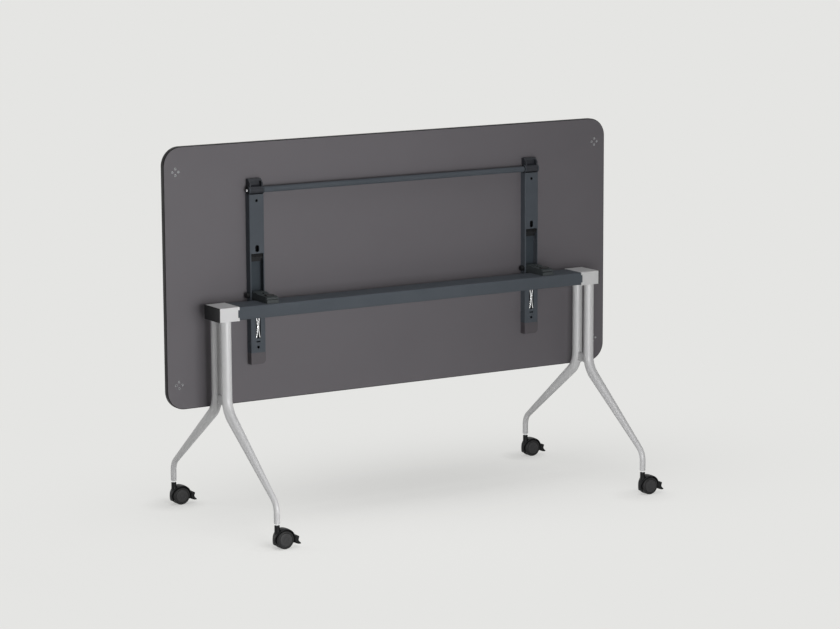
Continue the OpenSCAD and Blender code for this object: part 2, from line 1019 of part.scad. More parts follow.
module at_foot(side, end) {
    translate([(side == "left" ? -1 : 1) * leg_x, (end == "front" ? -1 : 1) * foot_y, 0])
        children();
}

// The sector of the hood seen from the side, from its rear end over the top to its front end
module hood_sector() {
    reach = 3 * hood_outer;
    rear_angle = -12;
    front_angle = 205;
    steps = 5;
    polygon([
        [0, 0],
        for (i = [0:steps])
            let (a = rear_angle + (front_angle - rear_angle) * i / steps)
                reach * [cos(a), sin(a)]
    ]);
}

module hood() {
    translate_axle = [wheel_trail, wheel_radius];
    nose = wheel_trail - hood_outer;
    difference() {
        union() {
            intersection() {
                along_y(-hood_half, hood_half)
                    translate(translate_axle)
                        intersection() {
                            difference() {
                                circle(r = hood_outer, $fn = 96);
                                circle(r = hood_inner, $fn = 96);
                            }
                            hood_sector();
                        }
                linear_extrude(2 * hood_outer + wheel_radius)
                    polygon([
                        [nose - cut, -6],
                        [nose + 4, -10],
                        [8, -hood_half],
                        [wheel_trail + 2 * hood_outer, -hood_half],
                        [wheel_trail + 2 * hood_outer, hood_half],
                        [8, hood_half],
                        [nose + 4, 10],
                        [nose - cut, 6]
                    ]);
            }
            along_y(-fork_half, fork_half) {
                translate(translate_axle) {
                    intersection() {
                        circle(r = hood_inner + cut);
                        hood_sector();
                    }
                    circle(r = axle_radius + 4);
                }
                translate(pedal_pivot)
                    circle(r = 5);
                polygon([
                    translate_axle,
                    pedal_pivot + [0, 5],
                    pedal_pivot - [0, 5],
                    translate_axle - [0, axle_radius + 4]
                ]);
            }
            translate([0, 0, housing_top - 34])
                cylinder(r = housing_radius, h = 34);
        }
        for (m = [0, 1])
            mirror([0, m, 0])
                translate([wheel_trail, 0, wheel_radius])
                    y_cylinder(hood_inner - 0.2, fork_half, 2 * hood_half);
        translate([0, 0, stem_bottom - moving_gap])
            cylinder(r = stem_radius + running_gap, h = housing_top);
        translate([wheel_trail, 0, wheel_radius])
            y_cylinder(axle_radius + running_gap, -wheel_outer, wheel_outer);
        translate([pedal_pivot[0], 0, pedal_pivot[1]])
            y_cylinder(pedal_pin_radius + running_gap, -wheel_outer, wheel_outer);
        translate([pedal_pivot[0] - 5, -2.4, 0])
            cube([2 * hood_outer, 4.8, pedal_pivot[1] + 8]);
    }
}

module axle() {
    translate([wheel_trail, 0, wheel_radius])
        y_cylinder(axle_radius, 0.3 - wheel_inner - axle_bore_depth, wheel_inner + axle_bore_depth - 0.3);
}

// Half section of a wheel: radius outwards, width from its inner face
module wheel_section() {
    shoulder = 5;
    difference() {
        union() {
            square([wheel_radius, wheel_width - shoulder]);
            square([wheel_radius - shoulder, wheel_width]);
            translate([wheel_radius - shoulder, wheel_width - shoulder])
                circle(r = shoulder);
        }
        square([axle_radius + running_gap, axle_bore_depth]);
        translate([disc_radius, wheel_width - 1])
            square([0.8, 2 * cut]);
    }
}

module wheel(end) {
    translate([wheel_trail, 0, wheel_radius])
        mirror([0, end == "front" ? 1 : 0, 0])
            translate([0, wheel_inner, 0])
                rotate([-90, 0, 0])
                    rotate_extrude($fn = 96)
                        intersection() {
                            wheel_section();
                            square([wheel_radius, wheel_width]);
                        }
}

// Pedal: a tongue in the fork of the hood and a crescent paddle for the toe
module pedal() {
    paddle_half = 13;
    root = wheel_trail + hood_outer + 1;
    along_y(-2.1, 2.1) {
        translate(pedal_pivot)
            circle(r = 4);
        polygon([
            pedal_pivot + [0, 4],
            pedal_pivot - [0, 4],
            [root + 4, pedal_pivot[1] - 4],
            [root + 4, pedal_pivot[1] + 5]
        ]);
    }
    translate([pedal_pivot[0], 0, pedal_pivot[1]])
        y_cylinder(pedal_pin_radius, -fork_half, fork_half);
    along_y(-paddle_half, paddle_half)
        difference() {
            polygon([
                [root + 1, pedal_pivot[1] + 2],
                [root + 2, pedal_pivot[1] + 14],
                [root + 5, pedal_pivot[1] + 17],
                [root + 9, pedal_pivot[1] + 17],
                [root + 12, pedal_pivot[1] + 14],
                [root + 18, pedal_pivot[1] - 7],
                [root + 12, pedal_pivot[1] - 8],
                [root + 3, pedal_pivot[1] - 5]
            ]);
            translate([root + 19.5, pedal_pivot[1] + 6])
                circle(r = 9);
        }
}

module castor_piece(piece) {
    if (piece == "hood") color(black) hood();
    if (piece == "axle") color(plated) axle();
    if (piece == "wheel_front") color(black) wheel("front");
    if (piece == "wheel_rear") color(black) wheel("rear");
    if (piece == "pedal") color(black) pedal();
}

module castor(side, end, piece) {
    at_foot(side, end)
        castor_piece(piece);
}

beam();
color(silver) to_side("left") head();  // head_left
color(silver) head();  // head_right
color(black) to_side("left") head_cap();  // head_cap_left
color(black) head_cap();  // head_cap_right
leg("left", "front");  // leg_left_front
leg("left", "rear");  // leg_left_rear
leg("right", "front");  // leg_right_front
leg("right", "rear");  // leg_right_rear
leg_spacers();
head_bolts();
stem_sockets();
castor_stems();
on_rail("left") color(black) bracket();  // bracket_left
on_rail("right") color(black) bracket();  // bracket_right
bracket_bolts();
bracket_bumpers();
hinge_pins();
hinge_bushes();
hinge_bosses();
top_core();
worktop_laminate();
underside_laminate();
edge_band();
linking_sleeves();
on_rail("left") color(anthracite) rail();  // rail_left
on_rail("right") color(anthracite) rail();  // rail_right
on_rail("left") color(anthracite) base_plate();  // base_plate_left
on_rail("right") color(anthracite) base_plate();  // base_plate_right
rail_end_caps();
rail_screws();
hold_up_springs();
release_rod();
on_rail("left") at_rod() color(black) release_lever();  // release_lever_left
on_rail("right") at_rod() color(black) release_lever();  // release_lever_right
rod_bushes();
rod_end_washers();
rod_end_screws();
on_rail("left") color(black) latch();  // latch_left
on_rail("right") color(black) latch();  // latch_right
castor("left", "front", "hood");  // castor_left_front_hood
castor("left", "front", "axle");  // castor_left_front_axle
castor("left", "front", "wheel_front");  // castor_left_front_wheel_front
castor("left", "front", "wheel_rear");  // castor_left_front_wheel_rear
castor("left", "front", "pedal");  // castor_left_front_pedal
castor("left", "rear", "hood");  // castor_left_rear_hood
castor("left", "rear", "axle");  // castor_left_rear_axle
castor("left", "rear", "wheel_front");  // castor_left_rear_wheel_front
castor("left", "rear", "wheel_rear");  // castor_left_rear_wheel_rear
castor("left", "rear", "pedal");  // castor_left_rear_pedal
castor("right", "front", "hood");  // castor_right_front_hood
castor("right", "front", "axle");  // castor_right_front_axle
castor("right", "front", "wheel_front");  // castor_right_front_wheel_front
castor("right", "front", "wheel_rear");  // castor_right_front_wheel_rear
castor("right", "front", "pedal");  // castor_right_front_pedal
castor("right", "rear", "hood");  // castor_right_rear_hood
castor("right", "rear", "axle");  // castor_right_rear_axle
castor("right", "rear", "wheel_front");  // castor_right_rear_wheel_front
castor("right", "rear", "wheel_rear");  // castor_right_rear_wheel_rear
castor("right", "rear", "pedal");  // castor_right_rear_pedal
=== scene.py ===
# %% [markdown]
# # A flip-top conference table
# The table is tipped up for storage, so what shows is the works: a dark laminated top, two folded
# steel rails with their latches, a coated beam between two silver heads, and four bent legs on
# castors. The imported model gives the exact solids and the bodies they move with. The cells below
# dress it: a finish for every part, and finer shapes where the real part has softer or richer
# forms.

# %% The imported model
import json

import bmesh
import bpy
import numpy as np
from mathutils import Matrix, Vector


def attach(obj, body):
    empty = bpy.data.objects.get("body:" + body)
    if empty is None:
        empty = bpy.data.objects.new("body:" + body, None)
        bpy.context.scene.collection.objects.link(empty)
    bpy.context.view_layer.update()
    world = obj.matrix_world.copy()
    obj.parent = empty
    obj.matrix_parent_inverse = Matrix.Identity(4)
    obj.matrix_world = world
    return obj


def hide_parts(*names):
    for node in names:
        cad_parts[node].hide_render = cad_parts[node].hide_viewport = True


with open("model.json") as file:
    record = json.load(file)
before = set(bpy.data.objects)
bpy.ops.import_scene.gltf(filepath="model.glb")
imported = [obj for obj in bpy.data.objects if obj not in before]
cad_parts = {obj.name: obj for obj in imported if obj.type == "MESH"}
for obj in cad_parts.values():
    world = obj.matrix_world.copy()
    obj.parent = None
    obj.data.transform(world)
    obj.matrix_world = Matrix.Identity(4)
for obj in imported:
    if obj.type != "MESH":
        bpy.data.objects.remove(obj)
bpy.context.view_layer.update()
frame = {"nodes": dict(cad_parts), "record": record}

nodes = frame["nodes"]

# %% [markdown]
# ## The camera
# The photograph was taken with a long lens from the table's left, a little above it. Fitting the
# table's straight edges gave the lens and the place, and those numbers are used as they are.

# %% Camera
MM = 0.001
PICTURE_WIDTH = 840
FOCAL_PIXELS = 2921.963
SENSOR_WIDTH = 36.0
CAMERA_PLACE = np.array([-4654.96, -7701.19, 2119.35]) * MM
AZIMUTH, ELEVATION, ROLL = np.radians([-31.375, 9.631, -0.263])


def camera_axes(azimuth, elevation, roll):
    """Columns right, up and back: back points from the object to the camera, right is level with
    the floor before the roll turns right and up round back."""
    back = np.array([np.sin(azimuth) * np.cos(elevation), -np.cos(azimuth) * np.cos(elevation),
                     np.sin(elevation)])
    level = np.cross(-back, [0.0, 0.0, 1.0])
    level /= np.linalg.norm(level)
    lift = np.cross(level, -back)
    right = level * np.cos(roll) + lift * np.sin(roll)
    up = -level * np.sin(roll) + lift * np.cos(roll)
    return np.column_stack([right, up, back])


camera_data = bpy.data.cameras.new("camera")
camera_data.sensor_width = SENSOR_WIDTH
camera_data.lens = FOCAL_PIXELS / PICTURE_WIDTH * SENSOR_WIDTH
camera_data.clip_end = 200.0
camera = bpy.data.objects.new("camera", camera_data)
placing = Matrix(camera_axes(AZIMUTH, ELEVATION, ROLL).tolist()).to_4x4()
placing.translation = Vector(CAMERA_PLACE)
camera.matrix_world = placing
bpy.context.scene.collection.objects.link(camera)
bpy.context.scene.camera = camera
print("lens", round(camera_data.lens, 2), "mm")

# %% [markdown]
# ## Making a finish
# A finish is a small graph of nodes. One function adds a node with its settings and links, and one
# turns a colour as it is read off a screen into the linear value that light works with.

# %% Colours and nodes


def linear(hex_colour):
    """sRGB to linear: c / 12.92 below 0.04045, else ((c + 0.055) / 1.055) to the power 2.4."""
    c = np.array([int(hex_colour[i:i + 2], 16) for i in (1, 3, 5)]) / 255.0
    c = np.where(c <= 0.04045, c / 12.92, ((c + 0.055) / 1.055) ** 2.4)
    return (*c.tolist(), 1.0)


def node(owner, kind, inputs=None, **settings):
    """Adds one shader node to a material or world: settings are the node's own options, and each
    input gets a value or a link."""
    made = owner.node_tree.nodes.new("ShaderNode" + kind)
    for name, value in settings.items():
        setattr(made, name, value)
    for name, value in (inputs or {}).items():
        if isinstance(value, bpy.types.NodeSocket):
            owner.node_tree.links.new(value, made.inputs[name])
        else:
            made.inputs[name].default_value = value
    return made


def new_material(name):
    """An empty node material with the object's own coordinates to start from; finish_material adds
    its output.
    """
    material = bpy.data.materials.new(name)
    material.use_nodes = True
    material.node_tree.nodes.clear()
    place = node(material, "TexCoord").outputs["Object"]
    return material, place


def finish_material(material, shader):
    """Links the finished shader to the surface."""
    node(material, "OutputMaterial", {"Surface": shader.outputs[0]})
    return material


print("the grey #808080 is", round(linear("#808080")[0], 3), "in linear light")

# %% Noise and mixtures


def noise(material, place, size_mm, detail=2.0, roughness=0.5):
    """Cloudy noise whose lumps are about size_mm across: the scale is one over twice that size."""
    return node(material, "TexNoise", {"Vector": place, "Scale": 1.0 / (2.0 * size_mm * MM),
                                       "Detail": detail, "Roughness": roughness}).outputs[0]


NOISE_LOW, NOISE_HIGH = 0.3, 0.7


def between(material, factor, low, high):
    """Maps noise, which mostly stays between 0.3 and 0.7, to the stretch from low to high."""
    return node(material, "MapRange", {"Value": factor, "From Min": NOISE_LOW,
                                       "From Max": NOISE_HIGH, "To Min": low,
                                       "To Max": high}).outputs[0]


def mixed(material, factor, first, second):
    """Mixes two linear colours by a factor. A Mix node has sockets for every kind of data, and
    those for colours are inputs 6 and 7 and output 2."""
    mix = node(material, "Mix", data_type="RGBA")
    material.node_tree.links.new(factor, mix.inputs[0])
    mix.inputs[6].default_value = first
    mix.inputs[7].default_value = second
    return mix.outputs[2]


print("noise from", NOISE_LOW, "to", NOISE_HIGH, "is stretched over the whole range")

# %% [markdown]
# ## One recipe for many finishes
# A coated, moulded or plated surface is never one flat colour. Seen from afar it drifts between
# two close tones; seen close it has a grain, from the powder's flow, the mould's texture or the
# bath. A noise as wide as the grain lifts the surface by the grain's height, and a wide noise
# mixes the tones and lets the gloss wander a little with them. A grain finer than about half a
# millimetre would vanish in a picture of a whole table, so the fine ones are drawn coarser than
# they are, 0.6 to 1 mm wide.

# %% A grained finish
ROUGH_BELOW, ROUGH_ABOVE = 0.03, 0.04
BUMP_STRENGTH = 0.6


def grained(name, colours, tone_mm, grain_mm, grain_height, rough, metallic=0.0, specular=0.5):
    """A finish with two close tones in patches of tone_mm, and a grain of grain_mm whose height
    in metres goes to the bump, over a roughness that wanders by a few hundredths."""
    material, place = new_material(name)
    tone = between(material, noise(material, place, tone_mm, 3.0), 0.0, 1.0)
    colour = mixed(material, tone, *[linear(shade) for shade in colours])
    grain = noise(material, place, grain_mm, 2.0, 0.6)
    bump = node(material, "Bump", {"Strength": BUMP_STRENGTH, "Distance": grain_height,
                                   "Height": grain})
    shader = node(material, "BsdfPrincipled", {
        "Base Color": colour, "Metallic": metallic, "Specular IOR Level": specular,
        "Roughness": between(material, tone, rough - ROUGH_BELOW, rough + ROUGH_ABOVE),
        "Normal": bump.outputs[0]})
    return finish_material(material, shader)


print("roughness wanders from", -ROUGH_BELOW, "to", ROUGH_ABOVE, "round its value")


# %% [markdown]
# ## The table's own finishes
# The beam, the rails and the rod are steel with a baked powder coat: the powder melts and flows
# into a skin with a faint orange peel, lumps about a millimetre wide and a few hundredths high.
# The heads and legs wear a pale coat with metal flakes. Levers, latches, caps and castors are
# moulded nylon, small parts are zinc plated, and the top is laminate on chipboard with an edging.
# Each starts from the usual roughness of its kind and was then matched to the real object.

# %% Coated and plated metals
# Powder-coated steel, sprayed and baked: a dull blue-grey skin with a faint orange peel.
anthracite_coat = grained("anthracite_powder_coat", ("#4d5258", "#52575d"), 60, 1.4, 0.00006, 0.5,
                          specular=0.05)
# A darker copy of the same coat for the base plates inside the rails: the darker tones are painted
# shade for the dim channel, and the gloss is flatter.
painted_shade_coat = grained("coat_with_painted_shade", ("#3a4147", "#3f464c"), 40, 1.4, 0.00006, 0.6,
                      specular=0.12)
# Powder with metal flakes, on castings and drawn tubes: pale, smooth and half matt. The flakes are
# a twentieth of a millimetre wide, drawn 1.6 mm wide and hardly raised.
silver_coat = grained("silver_powder_coat", ("#cbcbcc", "#d0d0d1"), 45, 1.6, 0.000006, 0.42, 0.1,
                      specular=0.35)
# Zinc from a bath with a brightener: a mirror with a slight blur.
plating = grained("bright_zinc_plate", ("#e4e5e7", "#f0f1f2"), 5, 0.8, 0.00001, 0.22, 1.0)
# Turned zinc that has dulled: grey dots, not sparks.
dull_zinc = grained("dull_turned_zinc", ("#b2b3b5", "#babbbd"), 4, 0.8, 0.00001, 0.4, 1.0)
# Steel screws blackened in an oxide bath: dark metal with a dull glint.
blackened = grained("blackened_screws", ("#1a1b1c", "#222325"), 4, 0.6, 0.00003, 0.35, 0.6)
print("metals:", [made.name for made in (anthracite_coat, painted_shade_coat, silver_coat, plating,
                                         dull_zinc, blackened)])

# %% Moulded plastics and rubber
# Nylon moulded against a spark-eroded face: near black, with a low even sheen.
black_plastic = grained("black_moulded_nylon", ("#111214", "#17181a"), 12, 1.0, 0.00007, 0.5,
                        specular=0.2)
# Nylon filled with glass fibre: the fibres under its skin make it greyer and less even.
cast_plastic = grained("anthracite_glass_filled_nylon", ("#353a3c", "#3c4142"), 10, 1.0, 0.00008,
                       0.45, specular=0.3)
# Moulded caps in the laminate's warm grey, beside the blue-grey rail.
rail_cap_plastic = grained("anthracite_moulded_cap", ("#454146", "#4b474b"), 20, 1.0, 0.00006, 0.5)
# Nylon coloured through, a shade paler than the black parts beside it.
lever_plastic = grained("dark_grey_moulded_nylon", ("#2a2c31", "#2f3136"), 12, 1.0, 0.00006, 0.45,
                        specular=0.22)
# Pressed rubber: black with hardly any gloss.
rubber = grained("black_rubber", ("#141415", "#19191a"), 10, 0.9, 0.00008, 0.75)
# Polyurethane moulded round the disc: a soft black, smoother than rubber.
tread = grained("polyurethane_tread", ("#171718", "#1d1d1e"), 9, 0.9, 0.00005, 0.55, specular=0.3)
print("plastics:", [made.name for made in (black_plastic, cast_plastic, rail_cap_plastic,
                                           lever_plastic, rubber, tread)])

# %% Board and edging
# Plastic strip, extruded and milled flush with the board: smooth and black.
edging = grained("black_abs_edging", ("#141214", "#191719"), 30, 1.0, 0.00003, 0.45, specular=0.12)
# Laminate pressed against a fine matt plate: a warm dark grey that mirrors nothing sharply.
laminate = grained("graphite_laminate", ("#605d61", "#646165"), 160, 0.9, 0.00004, 0.6,
                   specular=0.35)
# Wood chips pressed with glue: pale and dark specks as wide as a chip.
chipboard = grained("chipboard_core", ("#8a6d48", "#c0a273"), 1.6, 2.0, 0.0003, 0.85)

FINISHES = {
    "anthracite_steel": anthracite_coat, "silver_casting": silver_coat, "silver_tube": silver_coat,
    "black_plastic": black_plastic, "anthracite_plastic": rail_cap_plastic, "black_rubber": rubber,
    "blackened_steel": blackened, "plated_steel": plating, "chipboard": chipboard,
    "grey_laminate": laminate, "black_edging": edging, "castor_plastic": black_plastic,
    "castor_tread": tread,
}
print("finishes:", len(FINISHES))

# %% [markdown]
# ## From slots to finishes
# The record says which slot each solid has and which body carries it. All solids are dressed
# first, so a part that keeps its exact solid needs nothing more.

# %% Finishes on the solids
slot_of = {row["node"]: row["material_slot"] for row in frame["record"]["subparts"]}
body_of = {name: body for body, names in frame["record"]["behaviour"]["bodies"].items()
           for name in names}
for name, solid in nodes.items():
    solid.data.materials.clear()
    solid.data.materials.append(FINISHES[slot_of[name]])
print("finishes on the solids:", len(nodes))

# %% [markdown]
# ## Softened edges on the plain parts
# Folded, cut or moulded parts never have razor edges. Where a solid already has the right shape, a
# copy of it has its triangles joined into flats, and every long hard edge is turned into a narrow
# round that catches the light. A bevel on the raw triangles would crease at their diagonals, so
# the flats come first.

# %% Softening a solid
MERGE_MM = 0.01
FLAT_ANGLE, HARD_ANGLE, CRISP_ANGLE = np.radians([0.4, 35.0, 38.0])


def add_object(name, mesh, body, replaces=()):
    """Links a mesh as an object of the scene, lets it ride a body and stand for CAD nodes."""
    mesh.polygons.foreach_set("use_smooth", np.ones(len(mesh.polygons), bool))
    piece = bpy.data.objects.new(name, mesh)
    bpy.context.scene.collection.objects.link(piece)
    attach(piece, body)
    if replaces:
        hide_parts(*replaces)
    return piece


def softened(name, width_mm, shortest_mm=3.0, finish=None):
    """Copies a solid: doubles merged, flats joined, and each edge sharper than HARD_ANGLE and
    longer than shortest_mm rounded by width_mm. Face-area weights keep the flats flat."""
    work = bmesh.new()
    work.from_mesh(nodes[name].data)
    bmesh.ops.remove_doubles(work, verts=work.verts, dist=MERGE_MM * MM)
    bmesh.ops.dissolve_limit(work, angle_limit=FLAT_ANGLE, verts=work.verts, edges=work.edges)
    hard = [edge for edge in work.edges if len(edge.link_faces) == 2
            and edge.calc_face_angle() > HARD_ANGLE and edge.calc_length() > shortest_mm * MM]
    bmesh.ops.bevel(work, geom=hard, offset=width_mm * MM, segments=2, profile=0.5,
                    affect="EDGES", clamp_overlap=True)
    mesh = bpy.data.meshes.new(name + "_soft")
    work.to_mesh(mesh)
    work.free()
    if "custom_normal" in mesh.attributes:
        mesh.attributes.remove(mesh.attributes["custom_normal"])
    mesh.materials.clear()
    mesh.materials.append(finish or FINISHES[slot_of[name]])
    piece = add_object(name + "_soft", mesh, body_of[name], [name])
    mesh.set_sharp_from_angle(angle=CRISP_ANGLE)
    piece.modifiers.new("even", "WEIGHTED_NORMAL").keep_sharp = True
    return piece


print("edges over", round(float(np.degrees(HARD_ANGLE))), "degrees get a round")

# %% Softened copies
# Width of the round in millimetres, and the finish where it isn't the one of the piece's slot; the
# base plates get the darker coat with painted shade.
PAIRED = (("bracket", 0.7, cast_plastic), ("base_plate", 0.3, painted_shade_coat),
          ("latch", 0.35, black_plastic), ("release_lever", 0.8, lever_plastic))
PLAIN = (("beam", 0.6), ("head_left", 1.2), ("head_right", 1.2), ("head_cap_left", 0.9),
         ("head_cap_right", 0.9), ("rail_left", 0.35), ("rail_right", 0.35),
         ("rail_end_caps", 1.0), ("bracket_bumpers", 0.8), ("leg_spacers", 0.8))
for stem, width, finish in PAIRED:
    for side in ("left", "right"):
        softened(f"{stem}_{side}", width, finish=finish)
for name, width in PLAIN:
    softened(name, width)
print("softened copies:", 2 * len(PAIRED) + len(PLAIN))

# %% [markdown]
# ## Surfaces from numbers
# The finer pieces are grids of points worked out as whole arrays: a section carried along a path, a
# profile turned about an axis, or an outline stacked in levels. One function makes the grids into a
# mesh, closes their ends and turns all faces outwards.

# %% Grids into pieces
# Metres within which points count as one, and the length under which an edge is dropped.
WELD, SPECK = 0.000002, 0.000001


def ring_faces(rings, around, closed, start):
    """Quads between ring i and ring i + 1, each ring closed on itself; an open run of rings gets
    one face on each end, a closed run joins its last ring to its first."""
    index = np.arange(rings * around).reshape(rings, around) + start
    ahead = np.roll(index, -1, axis=1)
    corners = [index, ahead, np.roll(ahead, -1, axis=0), np.roll(index, -1, axis=0)]
    if not closed:
        corners = [corner[:-1] for corner in corners]
    faces = np.stack(corners, axis=-1).reshape(-1, 4).tolist()
    if not closed:
        faces += [index[0, ::-1].tolist(), index[-1].tolist()]
    return faces


def make_piece(name, skins, body, finish, replaces=(), sharp=40.0):
    """One object from several skins. A skin is (points, closed): points are millimetres in the
    shape (rings, around, 3). Doubles are merged, faces turned outwards, edges sharper than the
    given angle kept crisp."""
    points, faces, start = [], [], 0
    for grid, closed in skins:
        rings, around = grid.shape[:2]
        points.append(grid.reshape(-1, 3) * MM)
        faces += ring_faces(rings, around, closed, start)
        start += rings * around
    mesh = bpy.data.meshes.new(name)
    mesh.from_pydata(np.concatenate(points).tolist(), [], faces)
    work = bmesh.new()
    work.from_mesh(mesh)
    bmesh.ops.remove_doubles(work, verts=work.verts, dist=WELD)
    bmesh.ops.dissolve_degenerate(work, edges=work.edges, dist=SPECK)
    bmesh.ops.recalc_face_normals(work, faces=work.faces)
    work.to_mesh(mesh)
    work.free()
    mesh.materials.append(finish)
    piece = add_object(name, mesh, body, replaces)
    mesh.set_sharp_from_angle(angle=np.radians(sharp))
    return piece


print("3 rings of 4 points make", len(ring_faces(3, 4, False, 0)), "faces")

# %% Carried and turned grids
AROUND = 48


def carried(section, path, sideways, scale=None):
    """A section (n, 2) carried along a path (m, 3): each point is path + a * side + b * other,
    where side is the given direction made square to the path, and other is square to both."""
    along = np.gradient(path, axis=0)
    along /= np.linalg.norm(along, axis=1, keepdims=True)
    side = sideways - (along @ sideways)[:, None] * along
    side /= np.linalg.norm(side, axis=1, keepdims=True)
    other = np.cross(along, side)
    scale = np.ones(len(path)) if scale is None else scale
    a, b = section[:, 0], section[:, 1]
    spread = a[None, :, None] * side[:, None] + b[None, :, None] * other[:, None]
    return path[:, None] + scale[:, None, None] * spread


def circle(radius, count=AROUND):
    """Points at radius times (cos t, sin t)."""
    t = np.linspace(0, 2 * np.pi, count, endpoint=False)
    return radius * np.column_stack([np.cos(t), np.sin(t)])


def turned(profile, centre, axis, count=64):
    """A profile (m, 2) of radius and height, turned about an axis through the centre."""
    axis = np.asarray(axis, float)
    first = np.cross(axis, [0.3, 0.5, 0.8])
    first /= np.linalg.norm(first)
    second = np.cross(axis, first)
    t = np.linspace(0, 2 * np.pi, count, endpoint=False)
    spoke = np.cos(t)[:, None] * first + np.sin(t)[:, None] * second
    return (np.asarray(centre, float) + profile[:, 0, None, None] * spoke[None]
            + profile[:, 1, None, None] * axis)


print("a circle of radius 1 has", len(circle(1.0)), "points")

# %% [markdown]
# ## The legs
# Each leg is one drawn steel tube, bent twice and swaged thinner on its slanted run. Its centre
# line is straight, arc, straight, arc, straight; the radius falls evenly from 16 mm to 9 mm
# between the two bends. A circle carried along that line gives one smooth skin with no seams at
# the bends.

# %% Centre line of a leg
FOOT_Y, TUBE_Y = 337.0, 32.0
LEG_TOP, LEG_FOOT = 671.0, 78.0
CORNERS = np.array([[TUBE_Y, 366.0], [FOOT_Y, 134.0]])
BENDS = (80.0, 50.0)
TUBE_RADII = (16.0, 9.0)
TOP_STEPS, ARC_STEPS, SLANT_STEPS, FOOT_STEPS = 12, 25, 50, 6


def bent_line(corners, bends, top, foot):
    """Centre line in (y, z): at a corner of turn t, an arc of radius r starts r tan(t / 2) before
    it. Also returns the indices between which the slanted run lies."""
    run = corners[1] - corners[0]
    turn = np.arctan2(run[0], -run[1])
    down = np.array([0.0, -1.0])
    angles = np.linspace(0, turn, ARC_STEPS)
    arc = np.column_stack([1 - np.cos(angles), -np.sin(angles)])
    first_start = corners[0] - down * bends[0] * np.tan(turn / 2)
    last_end = corners[1] + down * bends[1] * np.tan(turn / 2)
    arc_1 = first_start + bends[0] * arc
    arc_2 = last_end - bends[1] * arc[::-1]
    slant = arc_1[-1] + np.linspace(0, 1, SLANT_STEPS)[1:-1, None] * (arc_2[0] - arc_1[-1])
    above = np.column_stack([np.full(TOP_STEPS, corners[0][0]),
                             np.linspace(top, first_start[1], TOP_STEPS + 1)[:-1]])
    below = np.column_stack([np.full(FOOT_STEPS, corners[1][0]),
                             np.linspace(last_end[1], foot, FOOT_STEPS + 1)[1:]])
    line = np.concatenate([above, arc_1, slant, arc_2, below])
    return line, len(above) + len(arc_1) - 1, len(above) + len(arc_1) + len(slant)


leg_line, narrow_from, narrow_to = bent_line(CORNERS, BENDS, LEG_TOP, LEG_FOOT)
steps = np.r_[0, np.cumsum(np.linalg.norm(np.diff(leg_line, axis=0), axis=1))]
leg_radius = np.interp(steps, [steps[narrow_from], steps[narrow_to]], TUBE_RADII)
print("leg length along its bends", round(float(steps[-1])), "mm")

# %% Leg tubes
LEG_X, TUBE_WALL, TUBE_AROUND = 660.0, 2.0, 72
ACROSS = np.array([1.0, 0, 0])
SIDES = (("left", -1), ("right", 1))
ENDS = (("front", -1), ("rear", 1))
for side, sx in SIDES:
    for end, sy in ENDS:
        path = np.column_stack([np.full(len(leg_line), sx * LEG_X), sy * leg_line[:, 0],
                                leg_line[:, 1]])
        outside = carried(circle(1.0, TUBE_AROUND), path, ACROSS, leg_radius)
        inside = carried(circle(1.0, TUBE_AROUND), path, ACROSS, leg_radius - TUBE_WALL)
        # The foot's rim is raised by half a millimetre and slopes into the bore.
        rim = (outside[-1] + [0, 0, 0.5])[None]
        slope = (outside[-1] * 0.6 + inside[-1] * 0.4)[None]
        skin = np.concatenate([outside[:-1], rim, slope, inside[::-1]])
        make_piece(f"leg_tube_{side}_{end}", [(skin, True)], "frame", silver_coat,
                   [f"leg_{side}_{end}"])
print("leg tubes:", len(SIDES) * len(ENDS), "of", skin.shape[:2], "points")

# %% [markdown]
# ## The edge band
# A black strip is glued round the board and milled flush, its two rims rounded. The outline of the
# board is drawn at each step of the strip's section, a little further out every time, so the skin
# follows the corners exactly.

# %% Edge band
PIVOT_Y, PIVOT_Z = 71.5, 690.0
PIVOT_TO_UNDERSIDE, TOP_THICK = 14.5, 18.0
UNDERSIDE = PIVOT_Y + PIVOT_TO_UNDERSIDE
TOP_HALF = np.array([800.0, 400.0])
TOP_ABOVE_PIVOT, TOP_BELOW_PIVOT = 467.0, 333.0
TOP_MIDDLE_Z = PIVOT_Z + (TOP_ABOVE_PIVOT - TOP_BELOW_PIVOT) / 2
CORNER, BAND, RIM = 58.0, 2.0, 1.6


def rounded_outline(half, radius, corner_steps=16, side_steps=24):
    """Rounded rectangle from +X round to +X: a quarter arc at each corner and points along the
    sides between them."""
    arcs = []
    for turns, (sx, sy) in enumerate(((1, 1), (-1, 1), (-1, -1), (1, -1))):
        t = np.radians(90 * turns) + np.linspace(0, np.pi / 2, corner_steps)
        centre = (half - radius) * [sx, sy]
        arcs.append(centre + radius * np.column_stack([np.cos(t), np.sin(t)]))
    between_corners = np.linspace(0, 1, side_steps)[1:-1, None]
    joined = []
    for arc, following in zip(arcs, arcs[1:] + arcs[:1]):
        joined += [arc, arc[-1] + between_corners * (following[0] - arc[-1])]
    return np.concatenate(joined)


quarter = np.linspace(0, np.pi / 2, 7)
rim_1 = np.column_stack([BAND - RIM + RIM * np.sin(quarter), RIM - RIM * np.cos(quarter)])
rim_2 = np.column_stack([rim_1[::-1, 0], TOP_THICK - rim_1[::-1, 1]])
band_section = np.concatenate([[[0.0, 0.0]], rim_1, rim_2, [[0.0, TOP_THICK]]])
band_rings = []
for out, depth in band_section:
    ring = rounded_outline(TOP_HALF - BAND + out, CORNER - BAND + out)
    band_rings.append(np.column_stack([ring[:, 0], np.full(len(ring), UNDERSIDE + depth),
                                       ring[:, 1] + TOP_MIDDLE_Z]))
make_piece("edge_band_strip", [(np.stack(band_rings), True)], "top", edging,
           ["edge_band"])
print("edge band:", len(band_rings), "outlines of", len(band_rings[0]), "points")

